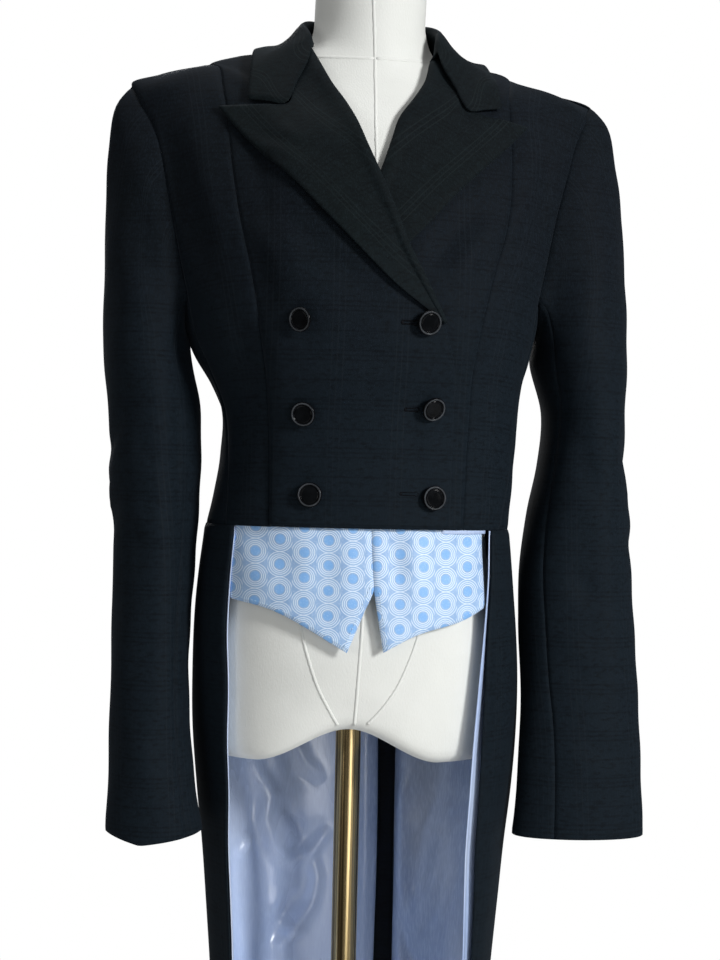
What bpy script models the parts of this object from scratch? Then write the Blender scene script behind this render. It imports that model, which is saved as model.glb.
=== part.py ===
"""A dressage tailcoat on a limbless dress form and its stand, in metres.

X runs to the wearer's left, -Y to the front, and Z up from the middle of the base's underside.
Each piece of cloth is a closed wall laid on a body shape, which is a stack of oval sections.
A place on a body shape is a pair: the turn in degrees from the centre front, positive to the
wearer's left, and the height.
"""

import math
from collections import namedtuple

import bmesh
import bpy
from mathutils import Matrix, Vector

# Walls of cloth, and the clear space at every seam
GAP = 0.0003
PRINCESS_GAP = 0.0004
CLOTH = 0.0016
SATIN = 0.0009
PRINT = 0.0011

# Heights of the coat
HEM = 1.0400
TAIL_HEM = 0.460
UNDERARM = 1.2110
FLOOR_RISE = 0.0060
FLOOR_RAMP = 9.0
SHOULDER_TIP = {"right": 1.4118, "left": 1.4054}
PRINCESS_TOP = {"right": 1.4342, "left": 1.4286}
PRINCESS_SHOULDER = 0.1245
NECK_POINT = 1.4470
NECK_BACK = 1.4495
GAP_TURN = 0.22
VENT_UNDERLAP = 0.0295
VENT_FACING = 0.0260
VENT_CLIMB = 0.0500
LINING_INSET = 0.0020
LAP_REST = 0.0010

# The overlap of the two fronts, which the lower one's lapel fills out
FRONT_STEP = CLOTH + 0.0010
LAPEL_STEP = 0.0072
LAPEL_REST = 0.0016
ROLL = 0.0024
ROLL_EASED = 0.55
ROLL_START = GAP + 0.50 * CLOTH

# The stand and the dress form
POLE_RADIUS = 0.0110
BASE_RADIUS = 0.180
BASE_HEIGHT = 0.012
BASE_BEVEL = 0.0025
SOCKET_TOP = 0.9400
SOCKET_FOOT = 0.8000
POLE_SIDES = 32
BASE_SIDES = 48
ARCH_RISE = 0.0290
ARCH_HALF_WIDTH = 0.078
ARCH_MIDDLE = -0.0080
FORM_FLOOR_DIP = 0.0006
NECK_CENTRE = Vector((0.0040, -0.0080, 0.0))

# Buttons
BUTTON_RADIUS = 0.0102
BUTTON_SHANK = 0.0016
BUTTON_REST = 0.0008
SHANK_SHARE = 0.24

Section = namedtuple("Section", "height right left front back corner shift")

# The inside of the coat, from the hem of its tails to its neck
COAT = (
    Section(0.455, 0.1050, 0.1050, 0.0780, 0.116, 0.05, 0.0040),
    Section(0.660, 0.1187, 0.1187, 0.0880, 0.117, 0.05, 0.0060),
    Section(0.760, 0.1270, 0.1270, 0.0960, 0.118, 0.05, 0.0065),
    Section(0.870, 0.1370, 0.1370, 0.1040, 0.119, 0.05, 0.0055),
    Section(0.925, 0.1378, 0.1378, 0.1070, 0.118, 0.05, 0.0045),
    Section(0.980, 0.1335, 0.1365, 0.1070, 0.111, 0.06, 0.0020),
    Section(1.041, 0.1255, 0.1330, 0.1000, 0.094, 0.08, 0.0000),
    Section(1.063, 0.1210, 0.1350, 0.0990, 0.088, 0.08, 0.0000),
    Section(1.092, 0.1150, 0.1365, 0.1000, 0.084, 0.08, 0.0000),
    Section(1.127, 0.1135, 0.1385, 0.1050, 0.084, 0.08, 0.0000),
    Section(1.160, 0.1240, 0.1415, 0.1130, 0.089, 0.08, 0.0000),
    Section(1.188, 0.1410, 0.1485, 0.1190, 0.094, 0.08, 0.0000),
    Section(1.210, 0.1505, 0.1535, 0.1225, 0.099, 0.08, 0.0000),
    Section(1.235, 0.1575, 0.1585, 0.1235, 0.103, 0.07, 0.0000),
    Section(1.270, 0.1680, 0.1680, 0.1190, 0.107, 0.05, 0.0000),
    Section(1.300, 0.1760, 0.1760, 0.1115, 0.107, 0.03, 0.0000),
    Section(1.330, 0.1840, 0.1840, 0.1020, 0.104, 0.00, 0.0010),
    Section(1.360, 0.1920, 0.1920, 0.0910, 0.097, -0.05, 0.0020),
    Section(1.387, 0.1985, 0.1965, 0.0800, 0.085, -0.12, 0.0030),
    Section(1.398, 0.2015, 0.2000, 0.0755, 0.078, -0.16, 0.0035),
    Section(1.405, 0.2030, 0.1990, 0.0720, 0.073, -0.20, 0.0040),
    Section(1.410, 0.2035, 0.1838, 0.0695, 0.068, -0.23, 0.0040),
    Section(1.414, 0.2030, 0.1700, 0.0675, 0.064, -0.25, 0.0040),
    Section(1.4185, 0.2010, 0.1525, 0.0650, 0.060, -0.26, 0.0045),
    Section(1.4225, 0.1855, 0.1385, 0.0635, 0.0565, -0.28, 0.0045),
    Section(1.427, 0.1670, 0.1245, 0.0618, 0.053, -0.28, 0.0045),
    Section(1.431, 0.1505, 0.1130, 0.0608, 0.0505, -0.26, 0.0045),
    Section(1.435, 0.1345, 0.0860, 0.0600, 0.0482, -0.23, 0.0045),
    Section(1.439, 0.1185, 0.0725, 0.0592, 0.0460, -0.18, 0.0045),
    Section(1.4425, 0.0885, 0.0655, 0.0585, 0.0440, -0.12, 0.0045),
    Section(1.445, 0.0740, 0.0615, 0.0580, 0.0430, -0.06, 0.0045),
    Section(1.452, 0.0600, 0.0550, 0.0570, 0.0410, 0.00, 0.0045),
)

# The outside of the dress form, from the round of its lower edge to its neck
FORM = (
    Section(0.8450, 0.1180, 0.1180, 0.0800, 0.088, 0.05, 0.0020),
    Section(0.8490, 0.1235, 0.1235, 0.0855, 0.093, 0.05, 0.0020),
    Section(0.8580, 0.1262, 0.1262, 0.0885, 0.096, 0.05, 0.0020),
    Section(0.9000, 0.1290, 0.1290, 0.0940, 0.103, 0.05, 0.0020),
    Section(0.9500, 0.1270, 0.1270, 0.0960, 0.105, 0.05, 0.0010),
    Section(1.0000, 0.1190, 0.1190, 0.0930, 0.094, 0.06, 0.0000),
    Section(1.0410, 0.1120, 0.1140, 0.0890, 0.080, 0.08, 0.0000),
    Section(1.0800, 0.1070, 0.1090, 0.0870, 0.072, 0.08, 0.0000),
    Section(1.1270, 0.1070, 0.1090, 0.0930, 0.074, 0.08, 0.0000),
    Section(1.1600, 0.1150, 0.1170, 0.1040, 0.080, 0.08, 0.0000),
    Section(1.1880, 0.1300, 0.1310, 0.1130, 0.087, 0.08, 0.0000),
    Section(1.2100, 0.1420, 0.1430, 0.1190, 0.094, 0.08, 0.0000),
    Section(1.2350, 0.1500, 0.1500, 0.1212, 0.100, 0.07, 0.0000),
    Section(1.2700, 0.1560, 0.1560, 0.1175, 0.105, 0.05, 0.0000),
    Section(1.3000, 0.1600, 0.1600, 0.1100, 0.1052, 0.03, 0.0000),
    Section(1.3300, 0.1640, 0.1640, 0.1005, 0.1022, 0.00, 0.0010),
    Section(1.3600, 0.1670, 0.1670, 0.0895, 0.0952, -0.05, 0.0020),
    Section(1.3870, 0.1680, 0.1680, 0.0785, 0.0820, -0.12, 0.0030),
    Section(1.4050, 0.1670, 0.1600, 0.0705, 0.0700, -0.20, 0.0040),
    Section(1.4130, 0.1630, 0.1500, 0.0650, 0.0605, -0.26, 0.0040),
    Section(1.4185, 0.1590, 0.1390, 0.0618, 0.0555, -0.28, 0.0045),
    Section(1.4245, 0.1530, 0.1210, 0.0598, 0.0505, -0.28, 0.0045),
    Section(1.4305, 0.1380, 0.0980, 0.0580, 0.0465, -0.26, 0.0045),
    Section(1.4365, 0.1130, 0.0740, 0.0570, 0.0430, -0.20, 0.0045),
    Section(1.4410, 0.0830, 0.0640, 0.0565, 0.0410, -0.12, 0.0045),
    Section(1.4470, 0.0610, 0.0570, 0.0560, 0.0395, -0.04, 0.0045),
    Section(1.4570, 0.0520, 0.0515, 0.0556, 0.0385, 0.00, 0.0046),
    Section(1.4740, 0.0482, 0.0482, 0.0558, 0.0387, 0.00, 0.0048),
    Section(1.5000, 0.0482, 0.0482, 0.0560, 0.0393, 0.00, 0.0055),
    Section(1.5250, 0.0478, 0.0478, 0.0553, 0.0387, 0.00, 0.0058),
    Section(1.5300, 0.0440, 0.0440, 0.0515, 0.0350, 0.00, 0.0058),
)

SeamRow = namedtuple("SeamRow", "height right left")

# The princess seams of the fronts, as distances from the middle plane
PRINCESS = (
    SeamRow(1.0400, 0.0766, 0.0829),
    SeamRow(1.0900, 0.0764, 0.0840),
    SeamRow(1.1350, 0.0791, 0.0850),
    SeamRow(1.1880, 0.0869, 0.0885),
    SeamRow(1.2400, 0.0960, 0.0985),
    SeamRow(1.2970, 0.1084, 0.1150),
    SeamRow(1.3330, 0.1137, 0.1182),
    SeamRow(1.3730, 0.1181, 0.1196),
    SeamRow(1.4050, 0.1215, 0.1215),
)

# The front edges of the tails, as distances from the middle plane
TAIL_EDGE = (
    SeamRow(0.4600, 0.0930, 0.0960),
    SeamRow(0.6800, 0.0990, 0.1010),
    SeamRow(0.7600, 0.1040, 0.1005),
    SeamRow(0.8300, 0.1055, 0.1025),
    SeamRow(0.8700, 0.1075, 0.1035),
    SeamRow(0.9300, 0.1080, 0.1050),
    SeamRow(0.9640, 0.1105, 0.1070),
    SeamRow(1.0000, 0.1080, 0.1090),
    SeamRow(1.0395, 0.1050, 0.1095),
)

ArmRow = namedtuple("ArmRow", "height front back")

# The armholes above the side body, as turns forward and backward of the centre front
ARMHOLE = (
    ArmRow(1.2340, 69.0, 119.0),
    ArmRow(1.2680, 67.3, 117.0),
    ArmRow(1.2960, 66.5, 115.0),
    ArmRow(1.3260, 66.7, 113.0),
    ArmRow(1.3580, 67.8, 110.0),
    ArmRow(1.3850, 72.5, 104.0),
    ArmRow(1.4010, 80.0, 98.0),
)

# The seams of the side body below the armhole, as turns
SIDE_SEAMS = (
    ArmRow(1.0400, 61.0, 124.0),
    ArmRow(1.0900, 70.0, 123.0),
    ArmRow(1.1270, 78.0, 122.0),
    ArmRow(1.1600, 77.0, 121.0),
    ArmRow(1.2000, 72.0, 120.0),
)

EdgePoint = namedtuple("EdgePoint", "across height")

# The right front's roll line from the break point up, measured from the middle plane
ROLL_LINE = (
    EdgePoint(0.0560, 1.2080),
    EdgePoint(0.0480, 1.2220),
    EdgePoint(0.0365, 1.2420),
    EdgePoint(0.0232, 1.2677),
    EdgePoint(0.0088, 1.3054),
    EdgePoint(-0.0042, 1.3375),
    EdgePoint(-0.0258, 1.3900),
    EdgePoint(-0.0438, 1.4284),
)

# The right lapel's free edge from the break point to the tip of its peak
LAPEL_EDGE = (
    EdgePoint(0.0520, 1.2110),
    EdgePoint(0.0480, 1.2155),
    EdgePoint(0.0369, 1.2217),
    EdgePoint(0.0095, 1.2420),
    EdgePoint(-0.0118, 1.2632),
    EdgePoint(-0.0360, 1.2882),
    EdgePoint(-0.0645, 1.3191),
    EdgePoint(-0.0936, 1.3471),
    EdgePoint(-0.1258, 1.3870),
)
LAPEL_NOTCH = EdgePoint(-0.0680, 1.3874)
LAPEL_GORGE = EdgePoint(-0.0517, 1.4195)
LAPEL_MIDDLE = 0.0040
LEFT_TIP_DROP = 0.0080

FRONT_EDGE = (
    EdgePoint(0.0680, HEM),
    EdgePoint(0.0713, 1.0900),
    EdgePoint(0.0688, 1.1470),
    EdgePoint(0.0640, 1.1860),
    EdgePoint(0.0560, 1.2080),
)
UNDER_EDGE = (
    EdgePoint(-0.0620, HEM),
    EdgePoint(-0.0640, 1.0900),
    EdgePoint(-0.0610, 1.1470),
    EdgePoint(-0.0560, 1.2080),
)

ArmSection = namedtuple("ArmSection", "height inner outer middle half_depth twist")

# The outsides of the two sleeves from cuff to upper arm, as distances from the middle plane
RIGHT_SLEEVE = (
    ArmSection(0.782, 0.1255, 0.2065, -0.050, 0.0400, 0.0),
    ArmSection(0.860, 0.1370, 0.2055, -0.036, 0.0440, 0.0),
    ArmSection(0.930, 0.1400, 0.2055, -0.020, 0.0470, 0.0),
    ArmSection(1.000, 0.1365, 0.2060, -0.006, 0.0510, 0.0),
    ArmSection(1.060, 0.1335, 0.2090, 0.000, 0.0550, 0.0),
    ArmSection(1.110, 0.1330, 0.2125, 0.002, 0.0580, 0.0),
    ArmSection(1.155, 0.1370, 0.2150, 0.003, 0.0610, 0.0),
    ArmSection(1.188, 0.1460, 0.2185, 0.003, 0.0630, 0.0),
)
LEFT_SLEEVE = (
    ArmSection(0.781, 0.1374, 0.2515, -0.045, 0.0290, -14.0),
    ArmSection(0.860, 0.1450, 0.2495, -0.034, 0.0340, -8.0),
    ArmSection(0.930, 0.1460, 0.2475, -0.020, 0.0390, 0.0),
    ArmSection(1.000, 0.1462, 0.2460, -0.006, 0.0440, 4.0),
    ArmSection(1.060, 0.1550, 0.2420, 0.000, 0.0500, 10.0),
    ArmSection(1.110, 0.1645, 0.2380, 0.002, 0.0540, 14.0),
    ArmSection(1.155, 0.1665, 0.2370, 0.003, 0.0590, 12.0),
    ArmSection(1.188, 0.1545, 0.2375, 0.003, 0.0630, 6.0),
)

# Rows of points shared by pieces that meet: up a side seam, up an armhole, along the shoulder
# and the armhole's foot, and up the edge of a front and its roll line
SEAM_ROWS = 6
HOLE_ROWS = 8
SHOULDER_ROWS = 3
ROLL_ROWS = 12
EDGE_ROWS = SEAM_ROWS + HOLE_ROWS + SHOULDER_ROWS - ROLL_ROWS
FLOOR_COLUMNS = 6
SLEEVE_COLUMNS = 2 * HOLE_ROWS + FLOOR_COLUMNS
FRONT_SLEEVE_SEAM = HOLE_ROWS
HIND_SLEEVE_SEAM = HOLE_ROWS + FLOOR_COLUMNS + 1
ARM_ROWS = 9
CAP_ROWS = 5
SLEEVE_HEAD = {"right": 0.062, "left": 0.070}

CollarRow = namedtuple("CollarRow", "seam_x seam_y around fold_out fold_up edge_x edge_y")

# Half of the collar from its front end to the centre back: its seam and its edge in plan, with
# distances across from the collar's middle, and the fold between them round the neck
COLLAR = (
    CollarRow(0.0462, -0.0470, 50.0, 0.0700, 1.4400, 0.1050, -0.0615),
    CollarRow(0.0570, -0.0320, 59.0, 0.0650, 1.4555, 0.1020, -0.0400),
    CollarRow(0.0600, -0.0040, 90.0, 0.0582, 1.4700, 0.0960, -0.0030),
    CollarRow(0.0480, 0.0240, 122.0, 0.0548, 1.4785, 0.0800, 0.0360),
    CollarRow(0.0250, 0.0370, 152.0, 0.0548, 1.4805, 0.0440, 0.0465),
    CollarRow(0.0000, 0.0405, 180.0, 0.0548, 1.4810, 0.0000, 0.0480),
)
COLLAR_STATIONS = 25
COLLAR_REST = 0.0034
STAND_REST = 0.0014
NECK_BOW = 0.0070
COLLAR_SAG = 0.0075
COLLAR_CLEAR = 0.0012

# How far the collar's corner stands from the lapel's notch: in turn, in height and outward
CornerStep = namedtuple("CornerStep", "turn rise lift")
COLLAR_CORNER = {"right": CornerStep(1.3, 0.0038, 0.0006), "left": CornerStep(1.6, 0.0045, 0.0012)}

VestPoint = namedtuple("VestPoint", "across height")

VEST_TOP = 1.066
VEST_REST = 0.0009
VEST_SIDE = 0.1060
VEST_MIDDLE = 0.0050

# The lining that shows below the hem of the lower front: how far it reaches and how it lies
HEM_LINING_SPAN = (0.0650, 0.1060)
HEM_LINING_DROP = 0.0030
HEM_LINING_RISE = 0.0220
HEM_LINING_REST = 0.0006
RIGHT_VEST_HEM = (
    VestPoint(-0.1085, 0.9797),
    VestPoint(-0.0797, 0.9735),
    VestPoint(-0.0515, 0.9609),
    VestPoint(-0.0140, 0.9392),
)
LEFT_VEST_HEM = (
    VestPoint(0.0171, 0.9398),
    VestPoint(0.0460, 0.9543),
    VestPoint(0.0835, 0.9644),
    VestPoint(0.1065, 0.9755),
)
VEST_NOTCH = VestPoint(0.0077, 0.9911)

ButtonRow = namedtuple("ButtonRow", "name across height tilt_up tilt_side sink")

BUTTONS = (
    ButtonRow("button_right_top", -0.0546, 1.2084, 0.0, -24.0, 0.0013),
    ButtonRow("button_right_middle", -0.0507, 1.1341, 0.0, 0.0, 0.0),
    ButtonRow("button_right_bottom", -0.0444, 1.0669, 0.0, 0.0, 0.0),
    ButtonRow("button_left_top", 0.0421, 1.2088, 8.0, 6.0, 0.0),
    ButtonRow("button_left_middle", 0.0502, 1.1414, 10.0, 8.0, 0.0008),
    ButtonRow("button_left_bottom", 0.0543, 1.0666, 0.0, 0.0, 0.0),
)

# Half of a button's outline, as shares of its radius, from the middle of its face outward
BUTTON_PROFILE = (
    (0.00, 0.235), (0.62, 0.235), (0.70, 0.200), (0.76, 0.235),
    (0.84, 0.330), (0.93, 0.330), (1.00, 0.220), (0.97, 0.090), (0.86, 0.000),
)
BUTTON_SIDES = 18

NAVY = ("navy wool", (0.012, 0.016, 0.024), 0.75, 0.0)
BLUE_SATIN = ("blue satin lining", (0.26, 0.40, 0.74), 0.35, 0.0)
BLUE_PRINT = ("pale blue printed cotton", (0.42, 0.60, 0.80), 0.65, 0.0)
JERSEY = ("off-white jersey", (0.76, 0.77, 0.74), 0.80, 0.0)
BLACK_HORN = ("black button", (0.008, 0.008, 0.010), 0.22, 0.0)
BRASS = ("brass", (0.35, 0.26, 0.11), 0.30, 1.0)


class Run:
    """A smooth value along a table: it passes through each row and never swings past one."""

    def __init__(self, places, values):
        self.places = list(places)
        self.values = list(values)
        steps = list(zip(self.places, self.places[1:], self.values, self.values[1:]))
        rises = [(after - before) / (end - start) for start, end, before, after in steps]
        self.slopes = [rises[0]]
        for before, after in zip(rises, rises[1:]):
            meets = before * after > 0.0
            self.slopes.append(2.0 * before * after / (before + after) if meets else 0.0)
        self.slopes.append(rises[-1])

    def __call__(self, place):
        if place <= self.places[0]:
            return self.values[0]
        if place >= self.places[-1]:
            return self.values[-1]
        row = max(i for i, start in enumerate(self.places[:-1]) if start <= place)
        width = self.places[row + 1] - self.places[row]
        t = (place - self.places[row]) / width
        start, end = self.values[row], self.values[row + 1]
        lean_in, lean_out = width * self.slopes[row], width * self.slopes[row + 1]
        return (
            (2 * t**3 - 3 * t**2 + 1) * start + (t**3 - 2 * t**2 + t) * lean_in
            + (3 * t**2 - 2 * t**3) * end + (t**3 - t**2) * lean_out
        )


def columns(rows, key):
    """One smooth run for each column of a table, read along its key column."""
    places = [getattr(row, key) for row in rows]
    names = [name for name in rows[0]._fields if name != key]
    return {name: Run(places, [getattr(row, name) for row in rows]) for name in names}


def ease(value, start, end):
    """0 before start, 1 after end and a soft step between them."""
    t = min(1.0, max(0.0, (value - start) / (end - start)))
    return t * t * (3.0 - 2.0 * t)


class Body:
    """A stack of oval sections, with places given as a turn in degrees and a height."""

    def __init__(self, rows):
        self.runs = columns(rows, "height")

    def read(self, name, height):
        return self.runs[name](height)

    def bare(self, turn, height):
        """The point of the shape at a place."""
        sine, cosine = math.sin(math.radians(turn)), math.cos(math.radians(turn))
        side = self.read("left" if sine >= 0.0 else "right", height)
        depth = self.read("front" if cosine >= 0.0 else "back", height)
        corner = self.read("corner", height)
        across = side * sine * (1.0 + corner * cosine * cosine)
        forward = depth * cosine * (1.0 + corner * sine * sine)
        return Vector((self.read("shift", height) + across, -forward, height))

    def normal(self, turn, height):
        """The direction that points away from the body at a place."""
        around = self.bare(turn + 0.5, height) - self.bare(turn - 0.5, height)
        upward = self.bare(turn, height + 0.001) - self.bare(turn, height - 0.001)
        return around.cross(upward).normalized()

    def point(self, turn, height, out=0.0):
        return self.bare(turn, height) + self.normal(turn, height) * out

    def front(self, across, height):
        """The place on the front that lies a distance across from the middle plane."""
        offset = across - self.read("shift", height)
        side = self.read("left" if offset >= 0.0 else "right", height)
        corner = self.read("corner", height)
        share = min(1.0, abs(offset) / side)
        low, high = 0.0, 1.0
        for _ in range(30):
            middle = (low + high) / 2.0
            if middle * (1.0 + corner * (1.0 - middle * middle)) < share:
                low = middle
            else:
                high = middle
        return (math.copysign(math.degrees(math.asin(low)), offset), height)

    def top(self, across, forward):
        """The height of the shoulders over a point of the plan."""
        low, high = 1.300, 1.4519
        for _ in range(30):
            height = (low + high) / 2.0
            offset = abs(across - self.read("shift", height))
            side = self.read("left" if across > self.read("shift", height) else "right", height)
            turn = self.front(across, height)[0]
            limit = self.bare(turn if forward < 0.0 else 180.0 - turn, height).y
            if offset < side and abs(forward) < abs(limit):
                low = height
            else:
                high = height
        return low

    def back(self, across, height):
        """The place on the back; turns past 180 carry on round the centre back."""
        turn = self.front(across, height)[0]
        return (180.0 - turn, height)


coat = Body(COAT)
form = Body(FORM)


def softened(edge, steps=8):
    """A smooth line of places through the points of an edge."""
    ends = [edge[0]] + list(edge) + [edge[-1]]
    line = []
    for before, start, end, after in zip(ends, ends[1:], ends[2:], ends[3:]):
        for step in range(steps):
            t = step / steps
            place = []
            for p0, p1, p2, p3 in zip(before, start, end, after):
                lean = (p2 - p0) / 2.0
                next_lean = (p3 - p1) / 2.0
                place.append(
                    (2 * t**3 - 3 * t**2 + 1) * p1 + (t**3 - 2 * t**2 + t) * lean
                    + (3 * t**2 - 2 * t**3) * p2 + (t**3 - t**2) * next_lean
                )
            line.append(tuple(place))
    return line + [tuple(edge[-1])]


def spread(line, count):
    """Evenly spaced places along a line, count + 1 of them."""
    lengths = [0.0]
    for here, there in zip(line, line[1:]):
        lengths.append(lengths[-1] + (coat.bare(*there) - coat.bare(*here)).length)
    places = []
    for step in range(count + 1):
        goal = lengths[-1] * step / count
        index = max(i for i, length in enumerate(lengths[:-1]) if length <= goal + 1e-12)
        run = lengths[index + 1] - lengths[index]
        t = (goal - lengths[index]) / run if run > 0.0 else 0.0
        here, there = line[index], line[index + 1]
        places.append(tuple(a + (b - a) * t for a, b in zip(here, there)))
    return places


def shares(turn, height, offset):
    """A small offset from a place on the coat as a change of turn and a change of height."""
    around = coat.bare(turn + 0.5, height) - coat.bare(turn - 0.5, height)
    upward = (coat.bare(turn, height + 0.001) - coat.bare(turn, height - 0.001)) * 500.0
    mixed = around.dot(upward)
    area = around.dot(around) * upward.dot(upward) - mixed * mixed
    turn_share = (offset.dot(around) * upward.dot(upward) - offset.dot(upward) * mixed) / area
    rise_share = (offset.dot(upward) * around.dot(around) - offset.dot(around) * mixed) / area
    return turn_share, rise_share


def settled(goal, place):
    """The place on the coat nearest to a point, sought from a place close by."""
    turn, height = place
    for _ in range(12):
        turn_share, rise_share = shares(turn, height, goal - coat.bare(turn, height))
        turn += max(-6.0, min(6.0, turn_share))
        height += max(-0.008, min(0.008, rise_share))
        height = min(height, COAT[-1].height - 0.001)
    return turn, height


def straight(start, end, steps, bow=0.0):
    """Places along the line from one place to another, bowed away from the neck by a distance."""
    here, there = coat.bare(*start), coat.bare(*end)
    line = [start]
    for step in range(1, steps):
        t = step / steps
        goal = here.lerp(there, t)
        away = Vector((goal.x - NECK_CENTRE.x, goal.y - NECK_CENTRE.y, 0.0)).normalized()
        line.append(settled(goal + away * bow * 4.0 * t * (1.0 - t), line[-1]))
    return line + [end]


def patch(bottom, top, near, far):
    """Places that fill the space between four edges of matching ends."""
    rows, count = len(near) - 1, len(bottom) - 1
    low, high = [coat.bare(*place) for place in bottom], [coat.bare(*place) for place in top]
    start, end = [coat.bare(*place) for place in near], [coat.bare(*place) for place in far]
    grid = [list(bottom)]
    for row in range(1, rows):
        v = row / rows
        line = [near[row]]
        for column in range(1, count):
            u = column / count
            ruled_up = low[column] * (1 - v) + high[column] * v
            ruled_across = start[row] * (1 - u) + end[row] * u
            corners = (low[0] * (1 - u) + low[-1] * u) * (1 - v) + (high[0] * (1 - u) + high[-1] * u) * v
            line.append(settled(ruled_up + ruled_across - corners, line[-1]))
        grid.append(line + [far[row]])
    return grid + [list(top)]


def aside(edge, distance):
    """A rising edge moved squarely to its side, toward greater turns, by a distance in metres."""
    moved = []
    for index, (turn, height) in enumerate(edge):
        before, after = edge[max(index - 1, 0)], edge[min(index + 1, len(edge) - 1)]
        along = (coat.bare(*after) - coat.bare(*before)).normalized()
        square = along.cross(coat.normal(turn, height)).normalized() * distance
        turn_share, rise_share = shares(turn, height, square)
        moved.append((turn + turn_share, height + rise_share))
    return moved


def halves(corners, flipped):
    """Two triangles that fill a quad, parted along its first diagonal or its second."""
    first, second, third, fourth = corners
    if flipped:
        return (first, second, fourth), (second, third, fourth)
    return (first, second, third), (first, third, fourth)


def surface(name, under, over, look, ring=False):
    """A closed wall between two grids of points; a ring's rows close on themselves."""
    mesh = bmesh.new()
    rows, count = len(over), len(over[0])
    lower = [[mesh.verts.new(point) for point in row] for row in under]
    upper = [[mesh.verts.new(point) for point in row] for row in over]
    last = count if ring else count - 1
    faces = []
    for row in range(rows - 1):
        for column in range(last):
            ahead = (column + 1) % count
            rising = (over[row][column] - over[row + 1][ahead]).length
            falling = (over[row][ahead] - over[row + 1][column]).length
            for wall in (lower, upper):
                corners = wall[row][column], wall[row][ahead], wall[row + 1][ahead], wall[row + 1][column]
                faces += halves(corners, falling < rising)
    for row in (0, rows - 1):
        for column in range(last):
            ahead = (column + 1) % count
            corners = lower[row][column], lower[row][ahead], upper[row][ahead], upper[row][column]
            faces += halves(corners, False)
    if not ring:
        for column in (0, count - 1):
            for row in range(rows - 1):
                corners = lower[row][column], upper[row][column]
                corners += upper[row + 1][column], lower[row + 1][column]
                faces += halves(corners, False)
    for face in faces:
        mesh.faces.new(face)
    return place_mesh(name, mesh, look)


def place_mesh(name, mesh, look):
    """Turn a bmesh into a named object with its own material."""
    bmesh.ops.recalc_face_normals(mesh, faces=mesh.faces)
    data = bpy.data.meshes.new(name)
    mesh.to_mesh(data)
    mesh.free()
    data.shade_smooth()
    data.set_sharp_from_angle(angle=math.radians(40.0))
    piece = bpy.data.objects.new(name, data)
    bpy.context.scene.collection.objects.link(piece)
    data.materials.append(finish(name, look))
    return piece


def finish(name, look):
    """A plain material: a colour, a roughness and a metallic value."""
    label, colour, roughness, metallic = look
    material = bpy.data.materials.new(label + " " + name)
    material.use_nodes = True
    shader = material.node_tree.nodes["Principled BSDF"]
    shader.inputs["Base Color"].default_value = (*colour, 1.0)
    shader.inputs["Roughness"].default_value = roughness
    shader.inputs["Metallic"].default_value = metallic
    return material


def raised(grid, out, extra=0.0):
    """The points over a grid of places, at the distance that out gives and a little extra."""
    return [[coat.point(turn, height, out(turn, height) + extra) for turn, height in row] for row in grid]


def trimmed(points, start, end):
    """A grid of points with its first and last columns drawn in by two distances."""
    lines = []
    for line in points:
        line = list(line)
        line[0] = line[0] + (line[1] - line[0]).normalized() * start
        line[-1] = line[-1] + (line[-2] - line[-1]).normalized() * end
        lines.append(line)
    return lines


def laid(name, grid, out, thickness, look, start=0.0, end=0.0):
    """A wall that lies on the coat's shape; out gives its inner face's distance at a place."""
    under, over = raised(grid, out), raised(grid, out, thickness)
    return surface(name, trimmed(under, start, end), trimmed(over, start, end), look)


def side_name(sign):
    return "left" if sign > 0 else "right"


def princess_line(sign):
    """The princess seam from the hem up to the shoulder."""
    side = side_name(sign)
    line = [coat.front(sign * getattr(row, side), row.height) for row in PRINCESS]
    top = PRINCESS_TOP[side]
    line.append(coat.front(sign * PRINCESS_SHOULDER, top - 0.006))
    return softened(line + [(sign * 90.0, top)])


def armhole_line(column, sign):
    """One side of the armhole from the side body up to the shoulder tip."""
    line = [(sign * getattr(row, column), row.height) for row in ARMHOLE]
    return spread(softened(line + [(sign * 90.0, SHOULDER_TIP[side_name(sign)])]), HOLE_ROWS)


def seam_and_armhole(column, sign, shift):
    """A seam of the side body and the armhole above it, moved toward the back by a distance."""
    seam = [(sign * getattr(row, column), row.height) for row in SIDE_SEAMS]
    seam.append((sign * getattr(ARMHOLE[0], column), ARMHOLE[0].height))
    low = spread(softened(seam), SEAM_ROWS)
    return aside(low[:-1] + armhole_line(column, sign), sign * shift)


def armhole_floor(sign):
    """The foot of the armhole over the side body, from its front to its back corner."""
    front, back = ARMHOLE[0].front, ARMHOLE[0].back
    ramp = (FLOOR_RAMP, UNDERARM + FLOOR_RISE)
    line = softened([
        (sign * front, ARMHOLE[0].height), (sign * (front + ramp[0]), ramp[1]),
        (sign * (front + back) / 2.0, UNDERARM),
        (sign * (back - ramp[0]), ramp[1]), (sign * back, ARMHOLE[0].height),
    ])
    return spread(line, FLOOR_COLUMNS)


def flat_out(turn, height):
    """Cloth that lies straight on the body shape."""
    return 0.0


def right_front_out(turn, height):
    """The upper front climbs over the lower front, and over that front's lapel above the waist."""
    across = coat.bare(turn, height).x
    over_front = FRONT_STEP * ease(across, -0.094, -0.070)
    over_lapel = LAPEL_STEP - FRONT_STEP
    below = ease(height, 1.135, 1.178) * (1.0 - ease(height, 1.352, 1.392))
    return (over_front + over_lapel * below * ease(across, -0.094, -0.066)) * (
        1.0 - ease(height, 1.370, 1.405)
    )


def mirrored_edge(points, sign):
    """Places of an edge given for the right front, swapped over for the left front."""
    if sign < 0:
        return [coat.front(point.across, point.height) for point in points]
    return [coat.front(2 * LAPEL_MIDDLE - point.across, point.height) for point in points]


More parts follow.
